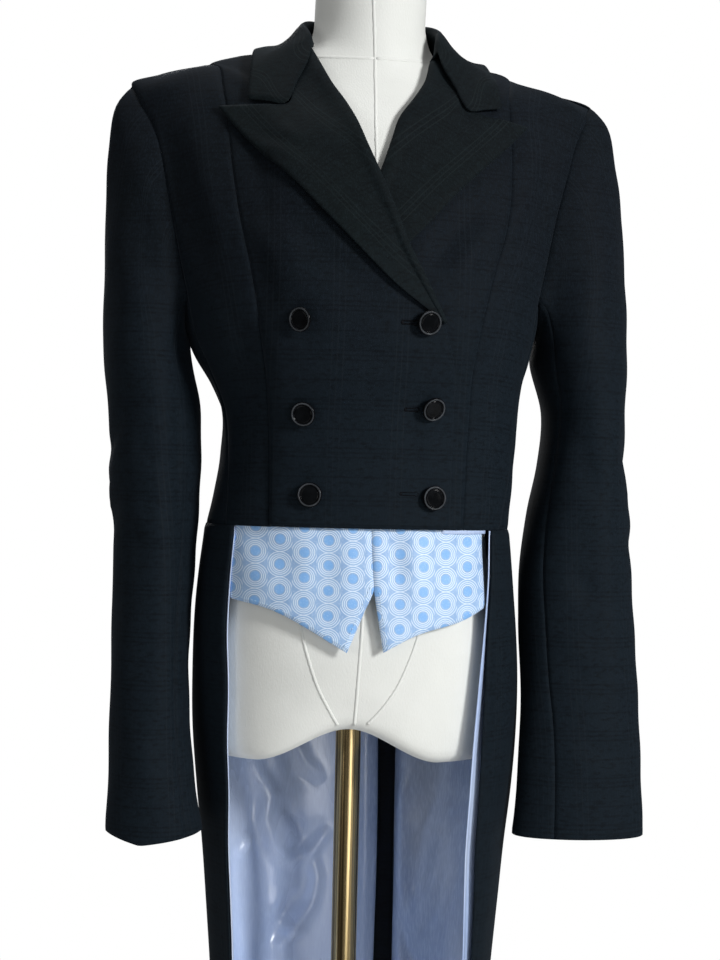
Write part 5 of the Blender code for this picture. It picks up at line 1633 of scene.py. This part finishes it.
# Where the lapel's upper edge and roll end out of sight, under the collar
HIDDEN_GORGE = EdgePoint(-0.0585, 1.4200)
HIDDEN_ROLL = EdgePoint(-0.0520, 1.4395)

# How far the free edges of the lapels spring off the fronts
LAPEL_LIFT = 0.0036
LAPEL_EASE = 0.0009

# How that lift falls off toward the roll, and its shares along the edge from the break point up
LIFT_CURVE = 1.6
LIFT_ALONG = ((0.0, 0.10, 0.35, 0.70, 1.0), (0.0, 0.45, 1.0, 0.8, 0.35))
LAPEL_SPACING = 0.0032
COLLAR_SPACING = 0.0034


def lifted(grid, lift=LAPEL_LIFT):
    """The right lapel springs off the front along its free edge, least at its two ends."""
    rows, count = grid.shape[:2]
    across = np.linspace(1.0, 0.0, count) ** LIFT_CURVE
    along = np.interp(np.linspace(0.0, 1.0, rows), *LIFT_ALONG)
    grid[..., 1] -= lift * along[:, None] * across[None, :]
    return grid


def eased(grid):
    """The left lapel lies flatter."""
    return lifted(grid, LAPEL_EASE)


def lapel(sign, base, count=6):
    """A lapel from its free edge to the roll, with a peak at its upper corner."""
    free = list(LAPEL_EDGE)
    if sign > 0:
        free[-1] = EdgePoint(free[-1].across, free[-1].height - LEFT_TIP_DROP)
    free = softened(mirrored_edge(free, sign))
    roll = spread(softened(mirrored_edge([*ROLL_LINE, HIDDEN_ROLL], sign)), ROLL_ROWS)
    top = [free[-1]] + mirrored_edge([LAPEL_NOTCH, HIDDEN_GORGE, HIDDEN_ROLL], sign)
    grid = filled(spread(free, ROLL_ROWS), roll, count, high=spread(top, count))
    side = side_name(sign)
    sewn("lapel_" + side, rolled(grid, base, sign), CLOTH, LAPEL_WOOL, "navy_wool",
         ["front_" + side], ("end",), LAPEL_FOLDS[side], grain=edge_grain, spacing=LAPEL_SPACING, proud=0.5,
         move=lifted if sign < 0 else eased)


# How far each line along the collar reaches past its solid at the front ends, down onto the gorge
COLLAR_REACH = {
    RIGHT: (-0.0080, -0.0064, -0.0030, 0.0020, 0.0060, 0.0065, 0.0050, 0.0020, 0.0),
    LEFT: (0.0, 0.0, 0.0, 0.0, 0.0050, 0.0070, 0.0060, 0.0030, 0.0),
}


def collar():
    """The collar in one piece, folded over at its top."""
    lines = collar_half(RIGHT)[:-1] + collar_half(LEFT)[::-1]
    for line, beside, side in ((lines[0], lines[1], RIGHT), (lines[-1], lines[-2], LEFT)):
        for index, reach in enumerate(COLLAR_REACH[side]):
            line[index] += (line[index] - beside[index]).normalized() * reach
    sewn("collar", lines, CLOTH, LAPEL_WOOL, "navy_wool", ["dress_form"], ("start",),
         wave=(0.0002, 0.09), grain=edge_grain, spacing=COLLAR_SPACING, proud=0.5)


# The right sleeve's swell under the arm
SWELL = 0.0044
SWELL_HEIGHT = 1.235
SWELL_RISE = 0.050
SWELL_FROM = 0.176
SWELL_WIDTH = 0.022
SWELL_DEPTH = 0.020

# The right cuff's sag, as distances across and depths, and how far up and back it reaches
CUFF_SAG = ((0.125, 0.142, 0.178, 0.206), (-0.0045, -0.0015, 0.0036, -0.0030))
SAG_RISE = 0.060
SAG_DEPTH = 0.030


def right_hang(grid):
    """The right sleeve swells against the body under the arm, and its cuff sags between two creases."""
    across, forward, height = grid[..., 0], grid[..., 1], grid[..., 2]
    near = np.clip((across + SWELL_FROM) / SWELL_WIDTH, 0.0, 1.0)
    swell = np.exp(-(((height - SWELL_HEIGHT) / SWELL_RISE) ** 2)) * near
    across += SWELL * swell * np.clip((SWELL_DEPTH - forward) / SWELL_DEPTH, 0.0, 1.0)
    low = 1.0 - np.clip((height - RIGHT_SLEEVE[0].height) / SAG_RISE, 0.0, 1.0)
    height -= np.interp(-across, *CUFF_SAG) * low**2 * np.clip((-SAG_DEPTH - forward) / SAG_DEPTH, 0.0, 1.0)
    return grid


# How far a sleeve's head is turned in under the edge of the armhole
ARMHOLE_TUCK = 0.0020


def sleeve(sign):
    """The top sleeve and the under sleeve, parted at the front and hind seams."""
    rings = sleeve_rings(sign)
    for edge, below in zip(rings[-1], rings[-2]):
        edge += (edge - below).normalized() * ARMHOLE_TUCK
    side = side_name(sign)
    for name, first, last in (
        ("top_sleeve_", HIND_SLEEVE_SEAM, SLEEVE_COLUMNS + FRONT_SLEEVE_SEAM),
        ("under_sleeve_", FRONT_SLEEVE_SEAM, HIND_SLEEVE_SEAM),
    ):
        grid = [[ring[column % SLEEVE_COLUMNS] for column in range(first, last + 1)] for ring in rings]
        sewn(name + side, trimmed(grid, GAP, GAP), CLOTH, NAVY_WOOL, "navy_wool", ["dress_form"],
             ("start", "end", "high"), SLEEVE_FOLDS[side], wave=(0.0007, 0.11), centre=sleeve_middle(sign),
             move=right_hang if sign < 0 else None)


def revolved(profile, sides):
    """A mesh turned about its upright axis from a profile of radii and heights; a zero radius closes it."""
    mesh = bmesh.new()
    rings = []
    for radius, height in profile:
        turns = [2.0 * math.pi * side / sides for side in range(sides if radius > 0.0 else 1)]
        rings.append([mesh.verts.new((radius * math.cos(t), radius * math.sin(t), height)) for t in turns])
    for ring, following in zip(rings, rings[1:]):
        for side in range(sides):
            corners = [ring[side % len(ring)], following[side % len(following)]]
            corners += [following[(side + 1) % sides % len(following)], ring[(side + 1) % sides % len(ring)]]
            mesh.faces.new(list(dict.fromkeys(corners)))
    return mesh


# Half of a button's outline with its rounded rim, as shares of its radius
FINE_BUTTON = (
    (0.0, 0.215), (0.25, 0.218), (0.5, 0.226), (0.62, 0.232), (0.665, 0.226), (0.69, 0.205), (0.71, 0.194),
    (0.73, 0.198), (0.752, 0.225), (0.78, 0.268), (0.815, 0.306), (0.85, 0.33), (0.895, 0.336),
    (0.935, 0.322), (0.968, 0.29), (0.99, 0.245), (1.0, 0.195), (0.996, 0.14), (0.975, 0.085),
    (0.935, 0.038), (0.88, 0.008), (0.8, 0.0),
)
BUTTON_TURNS = 72
# Where the button's rim is painted paler as a highlight: its ring as shares of the radius, and the least rise
# of its faces as a share of the radius
RIM_SHARES = (0.83, 0.92)
RIM_RISE = 0.25

# A shank's flare under the button, the height of that flare, and how far its foot follows a tipped button
SHANK_FLARE = 1.3
FLARE_HEIGHT = 0.0003
FOOT_FOLLOWS = 0.9


def button(row):
    """A turned button on its shank, set square to the cloth and tipped as it hangs."""
    profile = [(share * BUTTON_RADIUS, rise * BUTTON_RADIUS + BUTTON_SHANK) for share, rise in FINE_BUTTON]
    shank = BUTTON_RADIUS * SHANK_SHARE
    tipped = math.radians(abs(row.tilt_up) + abs(row.tilt_side))
    lift = max(0.0, BUTTON_RADIUS * math.sin(tipped) - BUTTON_SHANK * math.cos(tipped))
    foot = -FOOT_FOLLOWS * max(0.0, lift - shank * math.sin(tipped))
    profile += [(shank * SHANK_FLARE, BUTTON_SHANK), (shank, BUTTON_SHANK - FLARE_HEIGHT)]
    profile += [(shank, foot), (0.0, foot)]
    mesh = revolved(profile, BUTTON_TURNS)
    # Faces on the top of the rim take the second material, a paler tone painted as a highlight
    for face in mesh.faces:
        centre = face.calc_center_median()
        on_rim = RIM_SHARES[0] < centre.xy.length / BUTTON_RADIUS < RIM_SHARES[1]
        face.material_index = int(on_rim and centre.z > BUTTON_SHANK + RIM_RISE * BUTTON_RADIUS)
    seat, normal = on_front(row.across, row.height, BUTTON_REST - row.sink)
    upright = normal.to_track_quat("Z", "Y").to_matrix().to_4x4()
    nod, lean = math.radians(row.tilt_up), math.radians(row.tilt_side)
    tip = Matrix.Rotation(nod, 4, "X") @ Matrix.Rotation(lean, 4, "Y")
    mesh.transform(Matrix.Translation(seat + normal * lift) @ upright @ tip)
    piece = placed(row.name + "_turned", mesh, BUTTON_BLACK, "black_button", row.name)
    piece.data.materials.append(RIM_HIGHLIGHT)


def skinned(mesh, rings):
    """Join rings of points by faces, and close both ends."""
    rings = [[mesh.verts.new(point) for point in ring] for ring in rings]
    for ring, following in zip(rings, rings[1:]):
        for side in range(len(ring)):
            ahead = (side + 1) % len(ring)
            mesh.faces.new((ring[side], ring[ahead], following[ahead], following[side]))
    mesh.faces.new(rings[0][::-1])
    mesh.faces.new(rings[-1])


def hoop(middle, across, upward, sides):
    """Points round a middle."""
    turns = [2.0 * math.pi * side / sides for side in range(sides)]
    return [middle + across * math.cos(turn) + upward * math.sin(turn) for turn in turns]


# A thread's ends as a share of its thickness, and its dip and arch as shares of its radius
THREAD_END = 0.55
THREAD_DIP = 1.2
THREAD_ARCH = 2.4


def stitch(mesh, start, end, normal, radius):
    """One thread that rises out of the cloth and dips back in."""
    across = (end - start).normalized().cross(normal).normalized()
    rings = []
    for t in (0.0, 0.25, 0.5, 0.75, 1.0):
        swell = math.sin(math.pi * t)
        size = radius * (THREAD_END + (1.0 - THREAD_END) * swell)
        middle = start.lerp(end, t) + normal * radius * (THREAD_ARCH * swell - THREAD_DIP)
        rings.append(hoop(middle, across * size, normal * size, THREAD_SIDES))
    skinned(mesh, rings)


HoleRow = namedtuple("HoleRow", "name inner outer height")

# The buttonholes' eye, slit and stitches, and the small stitches along the waistcoat points
EYE_RADIUS = 0.00125
EYE_MEETS = 0.85
EYE_TURN = 150.0
EYE_STITCHES = 15
SLIT_STITCHES = 25
SLIT_HALF = 0.00055
HOLE_STITCH = (-0.0001, 0.00125)
HOLE_SINK = -0.0001
BAR_HALF = 0.0019
BAR_STITCHES = 6
BAR_START = 0.0004
BAR_PITCH = 0.00028
BAR_RADIUS = 0.00028
THREAD_SIDES = 6
STITCH_RADIUS = 0.00026
STITCH_PITCH = 0.0036
STITCH_LENGTH = 0.0019
STITCH_INSET = 0.0034
STITCH_LINE_PARTS = 90

BUTTONHOLES = table(
    HoleRow,
    ("buttonhole_top", 0.0219, 0.0342, 1.208),
    ("buttonhole_middle", 0.0288, 0.0396, 1.139),
    ("buttonhole_bottom", 0.0274, 0.0417, 1.0695),
)


def on_front(across, height, lift):
    """A point over the right front and the cloth's facing there."""
    turn, height = coat.front(across, height)
    out = right_front_out(turn, height) + CLOTH + lift
    return coat.point(turn, height, out), coat.normal(turn, height)


def buttonhole(row):
    """A keyhole buttonhole: close stitches round a slit with a round eye and a bar at its end."""
    mesh = bmesh.new()
    centre = row.outer - EYE_RADIUS
    meets = centre - EYE_RADIUS * EYE_MEETS
    outline = []
    for step in range(EYE_STITCHES):
        angle = math.radians(EYE_TURN - 2 * EYE_TURN * step / (EYE_STITCHES - 1))
        outline.append((centre + EYE_RADIUS * math.cos(angle), EYE_RADIUS * math.sin(angle)))
    for step in range(SLIT_STITCHES):
        across = meets + (row.inner - meets) * step / (SLIT_STITCHES - 1)
        outline += [(across, SLIT_HALF), (across, -SLIT_HALF)]
    for across, rise in outline:
        side = Vector((0.0, 1.0 if rise >= 0.0 else -1.0))
        if across > meets:
            side = Vector((across - centre, rise)).normalized()
        ends = []
        for reach in HOLE_STITCH:
            ends.append(on_front(across + side.x * reach, row.height + rise + side.y * reach, HOLE_SINK))
        stitch(mesh, ends[0][0], ends[1][0], ends[0][1], STITCH_RADIUS)
    for step in range(BAR_STITCHES):
        across = row.inner - BAR_START + BAR_PITCH * step
        low, normal = on_front(across, row.height - BAR_HALF, HOLE_SINK)
        stitch(mesh, low, on_front(across, row.height + BAR_HALF, HOLE_SINK)[0], normal, BAR_RADIUS)
    placed(row.name, mesh, DARK_THREAD, "navy_wool")


def edge_stitches(name, edge, inset):
    """A row of small pricked stitches along an edge of a waistcoat point."""
    mesh = bmesh.new()
    places = spread(edge, STITCH_LINE_PARTS)
    points = [coat.point(turn, height, vest_out(turn, height) + PRINT) for turn, height in places]
    normals = [coat.normal(*place) for place in places]
    run, due = 0.0, STITCH_PITCH / 2.0
    for before, point, normal_before, normal_after in zip(points, points[1:], normals, normals[1:]):
        step = point - before
        while run + step.length > due:
            t = (due - run) / step.length
            along = step.normalized()
            normal = normal_before.lerp(normal_after, t).normalized()
            middle = before.lerp(point, t) + normal.cross(along).normalized() * inset
            half = along * STITCH_LENGTH / 2
            stitch(mesh, middle - half, middle + half, normal, STITCH_RADIUS)
            due += STITCH_PITCH
        run += step.length
    placed(name, mesh, BLUE_THREAD, "blue_print")


def vest(sign, rows=7, count=8):
    """One waistcoat point from its side edge to the centre notch, with its edge stitched."""
    hem = spread(softened(mirrored_edge(VEST_HEMS[sign], RIGHT)), count)
    outer, tip = hem[::-sign][0], hem[::-sign][-1]
    notch = coat.front(VEST_NOTCH.across + sign * GAP, VEST_NOTCH.height)
    centre = coat.front(VEST_MIDDLE + sign * GAP, VEST_TOP)
    sides = [
        spread([outer, coat.front(sign * VEST_SIDE, VEST_TOP)], rows),
        spread([tip, notch, centre], rows),
    ]
    name = "waistcoat_point_" + side_name(sign)
    laid(name, filled(*sides[::-sign], count, low=hem), vest_out, PRINT, BLUE_PRINT)
    edge_stitches(name + "_hem_stitches", hem, STITCH_INSET)
    edge_stitches(name + "_notch_stitches", [tip, notch], -sign * STITCH_INSET)


# How far the linings roll out past the tails' front edges: heights, and the width at each
LINING_SHOWS = {
    "right": ((0.46, 0.62, 0.74, 0.86, 0.95, 1.04), (0.0012, 0.0006, 0.0013, 0.0004, 0.0010, 0.0008)),
    "left": (
        (0.46, 0.64, 0.74, 0.84, 0.89, 0.94, 1.04),
        (0.0110, 0.0105, 0.0118, 0.0100, 0.0082, 0.0038, 0.0015),
    ),
}


def tails():
    """Both tails, their linings and the dark facing of the vent."""
    right = tail_grid(tail_edge(RIGHT), vent_edge(RIGHT, -VENT_UNDERLAP), 12)
    laid("tail_right", right, right_tail_out, CLOTH, NAVY)
    laid("tail_lining_right", right, flat_out, SATIN, BLUE_SATIN, 0.0, LINING_INSET)
    split = vent_edge(LEFT, VENT_UNDERLAP + VENT_FACING)
    lined = tail_grid(tail_edge(LEFT), split, 10)
    faced = tail_grid(split, vent_edge(LEFT, 0.0), 3)
    whole = [line[:-1] + rest for line, rest in zip(lined, faced)]
    laid("tail_left", whole, left_tail_out, CLOTH, NAVY)
    laid("tail_lining_left", lined, left_lining_out, SATIN, BLUE_SATIN, 0.0, GAP / 2)
    laid("vent_facing_left", faced, left_lining_out, SATIN, VENT_FACE, GAP / 2, LINING_INSET)


def hem_lining():
    """The lining that shows as a sliver below the hem of the lower front."""
    low, high = HEM - HEM_LINING_DROP, HEM + HEM_LINING_RISE
    near, far = [spread([coat.front(x, low), coat.front(x, high)], 2) for x in HEM_LINING_SPAN]
    laid("front_hem_lining", filled(near, far, 4), lambda *place: -HEM_LINING_REST - SATIN, SATIN, BLUE_SATIN)


FORM_SIDES = 144
FORM_STEP = 0.0060

# The rings that close the form below and above, as shares of its width, and how far the lower ones drop
FORM_FOOT = (0.12, 0.36, 0.60, 0.80, 0.93)
FORM_CROWN = (0.985, 0.80, 0.40)
FOOT_DROP = -0.0006


def form_skin():
    """The limbless form, smooth and whole, closed at its neck and round its lower edge."""
    low, high = FORM[0].height, FORM[-1].height
    steps = math.ceil((high - low) / FORM_STEP)
    levels = [(low, share, FOOT_DROP) for share in FORM_FOOT]
    levels += [(low + (high - low) * step / steps, 1.0, 0.0) for step in range(steps + 1)]
    levels += [(high, share, 0.0) for share in FORM_CROWN]
    rings = []
    for height, share, drop in levels:
        ring = [form.bare(360.0 * side / FORM_SIDES, height) for side in range(FORM_SIDES)]
        rings.append([arched(Vector((point.x * share, point.y * share, point.z + drop))) for point in ring])
    mesh = bmesh.new()
    skinned(mesh, rings)
    placed("form_skin", mesh, OFF_WHITE, "jersey", "dress_form")


# The seams of the form in front, as distances across and heights
FORM_SEAMS = {
    "middle": ((-0.0040, 0.8775), (-0.0026, 0.9150), (-0.0004, 0.9629), (0.0010, 1.0300)),
    "right": ((-0.0179, 0.8780), (-0.0262, 0.8920), (-0.0351, 0.9089), (-0.0440, 0.9340), (-0.0508, 0.9593),
              (-0.0590, 1.0000)),
    "left": ((0.0068, 0.8790), (0.0180, 0.8920), (0.0299, 0.9098), (0.0390, 0.9300), (0.0463, 0.9509),
             (0.0560, 0.9900)),
    "neck_front": ((0.0030, 1.3100), (0.0030, 1.3700), (0.0040, 1.4300), (0.0020, 1.4800), (0.0000, 1.5290)),
}
SEAM_RADIUS = 0.0010
SEAM_SIDES = 8
SEAM_STEPS = 12
ARCH_SEEK_STEPS = 8

# A seam ridge's width and height as shares of its radius, and the unevenness along it
RIDGE_WIDTH = 1.3
RIDGE_HEIGHT = 0.8
RIDGE_UNEVEN = 0.12
RIDGE_BEAT = 2.1

# The seam round the neck: its height in front, its rise to the back, its tilt and its steps
NECK_SEAM_HEIGHT = 1.4400
NECK_SEAM_RISE = 0.0120
NECK_SEAM_TILT = 0.0060
NECK_SEAM_STEPS = 96


def form_seam(name, line):
    """A seam of the form through distances across and heights."""
    keys = range(len(line))
    across_run, height_run = [Run(keys, values) for values in zip(*line)]
    count = SEAM_STEPS * (len(line) - 1)
    places = []
    for step in range(count + 1):
        key = step * (len(line) - 1) / count
        across, goal = across_run(key), height_run(key)
        height = goal
        for _ in range(ARCH_SEEK_STEPS):
            height = goal - arch_lift(across, height)
        places.append(form.front(across, max(height, FORM[0].height)))
    ridge(name, places)


def neck_seam():
    """The seam round the foot of the form's neck."""
    places = []
    for step in range(NECK_SEAM_STEPS + 1):
        turn = 360.0 * step / NECK_SEAM_STEPS
        cosine = math.cos(math.radians(turn))
        rise = NECK_SEAM_RISE * (1.0 - cosine) / 2.0 - NECK_SEAM_TILT * cosine
        places.append((turn, NECK_SEAM_HEIGHT + rise))
    ridge("form_neck_seam", places)


def ridge(name, places):
    """A stitched seam of the form, which stands a little proud of its skin."""
    path = [arched(form.bare(*place)) for place in places]
    rings = []
    for index, (point, place) in enumerate(zip(path, places)):
        normal = form.normal(*place)
        along = path[min(index + 1, len(path) - 1)] - path[max(index - 1, 0)]
        across = along.cross(normal).normalized()
        size = SEAM_RADIUS * (1.0 + RIDGE_UNEVEN * math.sin(index * RIDGE_BEAT))
        rings.append(hoop(point, across * size * RIDGE_WIDTH, normal * size * RIDGE_HEIGHT, SEAM_SIDES))
    mesh = bmesh.new()
    skinned(mesh, rings)
    placed(name, mesh, OFF_WHITE, "jersey")


def rounded(radius, low, high, bevel, steps=5):
    """The outline of a round bar with its top and bottom corners rounded."""
    outline = [(0.0, low)]
    for centre_z, start in ((low + bevel, -90.0), (high - bevel, 0.0)):
        for step in range(steps + 1):
            angle = math.radians(start + 90.0 * step / steps)
            outline.append((radius - bevel + bevel * math.cos(angle), centre_z + bevel * math.sin(angle)))
    return outline + [(0.0, high)]


BASE_TURNS = 128
POLE_TURNS = 96
POLE_BEVEL = 0.0006


def stand():
    """The round base and the pole that stands on it."""
    base = rounded(BASE_RADIUS, 0.0, BASE_HEIGHT, BASE_BEVEL)
    placed("round_base", revolved(base, BASE_TURNS), BASE_BRASS, "brass", "base")
    pole = rounded(POLE_RADIUS, BASE_HEIGHT + GAP, SOCKET_TOP - GAP, POLE_BEVEL)
    placed("round_pole", revolved(pole, POLE_TURNS), POLE_BRASS, "brass", "pole")


def floor_and_lights():
    """A plain pale floor, soft studio lights and a bright even surrounding."""
    bpy.ops.mesh.primitive_plane_add(size=3.0, location=(0.0, 0.0, 0.0))
    floor = bpy.context.object
    floor.name = "studio_floor"
    floor.data.materials.append(plain_floor("studio floor"))
    for name, place, aim, size, power in (
        ("key", (1.7, -1.9, 1.9), (0.0, 0.0, 0.98), 0.6, 64.0),
        ("fill", (-1.9, -1.7, 1.5), (0.0, 0.0, 1.00), 1.3, 9.0),
        ("top", (-0.2, 0.2, 3.0), (0.0, 0.0, 1.20), 1.2, 16.0),
        ("low", (0.9, -2.2, 0.7), (0.0, 0.0, 0.75), 0.9, 9.0),
        ("hind", (-0.5, 2.5, 2.1), (0.0, 0.0, 0.95), 1.4, 20.0),
    ):
        data = bpy.data.lights.new(name, "AREA")
        data.shape = "DISK"
        data.size = size
        data.energy = power
        lamp = bpy.data.objects.new(name + "_light", data)
        lamp.location = place
        lamp.rotation_euler = (Vector(place) - Vector(aim)).to_track_quat("Z", "Y").to_euler()
        bpy.context.scene.collection.objects.link(lamp)
    world = bpy.data.worlds.new("bright studio")
    world.use_nodes = True
    sky = world.node_tree.nodes["Background"]
    seen = world.node_tree.nodes.new("ShaderNodeLightPath")
    strength = world.node_tree.nodes.new("ShaderNodeMapRange")
    strength.inputs["To Min"].default_value = 0.14
    strength.inputs["To Max"].default_value = 1.0
    world.node_tree.links.new(seen.outputs["Is Camera Ray"], strength.inputs["Value"])
    world.node_tree.links.new(strength.outputs["Result"], sky.inputs["Strength"])
    sky.inputs["Color"].default_value = (1.0, 1.0, 1.0, 1.0)
    bpy.context.scene.world = world
    bpy.context.scene.view_settings.view_transform = "Standard"


# The photograph's viewing angle: a level camera a little to the wearer's right
CAMERA_DISTANCE = 1.6
CAMERA_TURN = math.radians(6.0)
CAMERA_HEIGHT = 1.08
CAMERA_SIDE = 0.0052
CAMERA_ROLL = math.asin(0.02234)
METRES_PER_PIXEL = 0.87e-3
FRAME_HEIGHT = 960
SENSOR_HEIGHT = 36.0


def camera():
    """The camera of the main view."""
    data = bpy.data.cameras.new("camera")
    data.sensor_fit = "VERTICAL"
    data.sensor_height = SENSOR_HEIGHT
    data.lens = SENSOR_HEIGHT * CAMERA_DISTANCE / (FRAME_HEIGHT * METRES_PER_PIXEL)
    view = bpy.data.objects.new("camera", data)
    s, c = math.sin(CAMERA_TURN), math.cos(CAMERA_TURN)
    place = Vector((-CAMERA_DISTANCE * s, -CAMERA_DISTANCE * c, CAMERA_HEIGHT))
    place += Vector((c, -s, 0.0)) * CAMERA_SIDE
    axes = Matrix(((c, 0.0, -s), (-s, 0.0, -c), (0.0, 1.0, 0.0))).to_4x4()
    view.matrix_world = Matrix.Translation(place) @ axes @ Matrix.Rotation(CAMERA_ROLL, 4, "Z")
    bpy.context.scene.collection.objects.link(view)
    bpy.context.scene.camera = view


def build():
    """Every piece, the studio and the camera."""
    stand()
    form_skin()
    for name, line in FORM_SEAMS.items():
        form_seam("form_seam_" + name, line)
    neck_seam()
    front_panel(RIGHT, FRONT_EDGE, right_front_out)
    front_panel(LEFT, UNDER_EDGE, flat_out)
    lapel(RIGHT, right_front_out)
    lapel(LEFT, flat_out)
    for sign in (RIGHT, LEFT):
        side_front(sign)
        side_body(sign)
        back_panel(sign)
        sleeve(sign)
        vest(sign)
    collar()
    tails()
    hem_lining()
    for row in BUTTONS:
        button(row)
    for row in BUTTONHOLES:
        buttonhole(row)
    floor_and_lights()
    camera()


build()
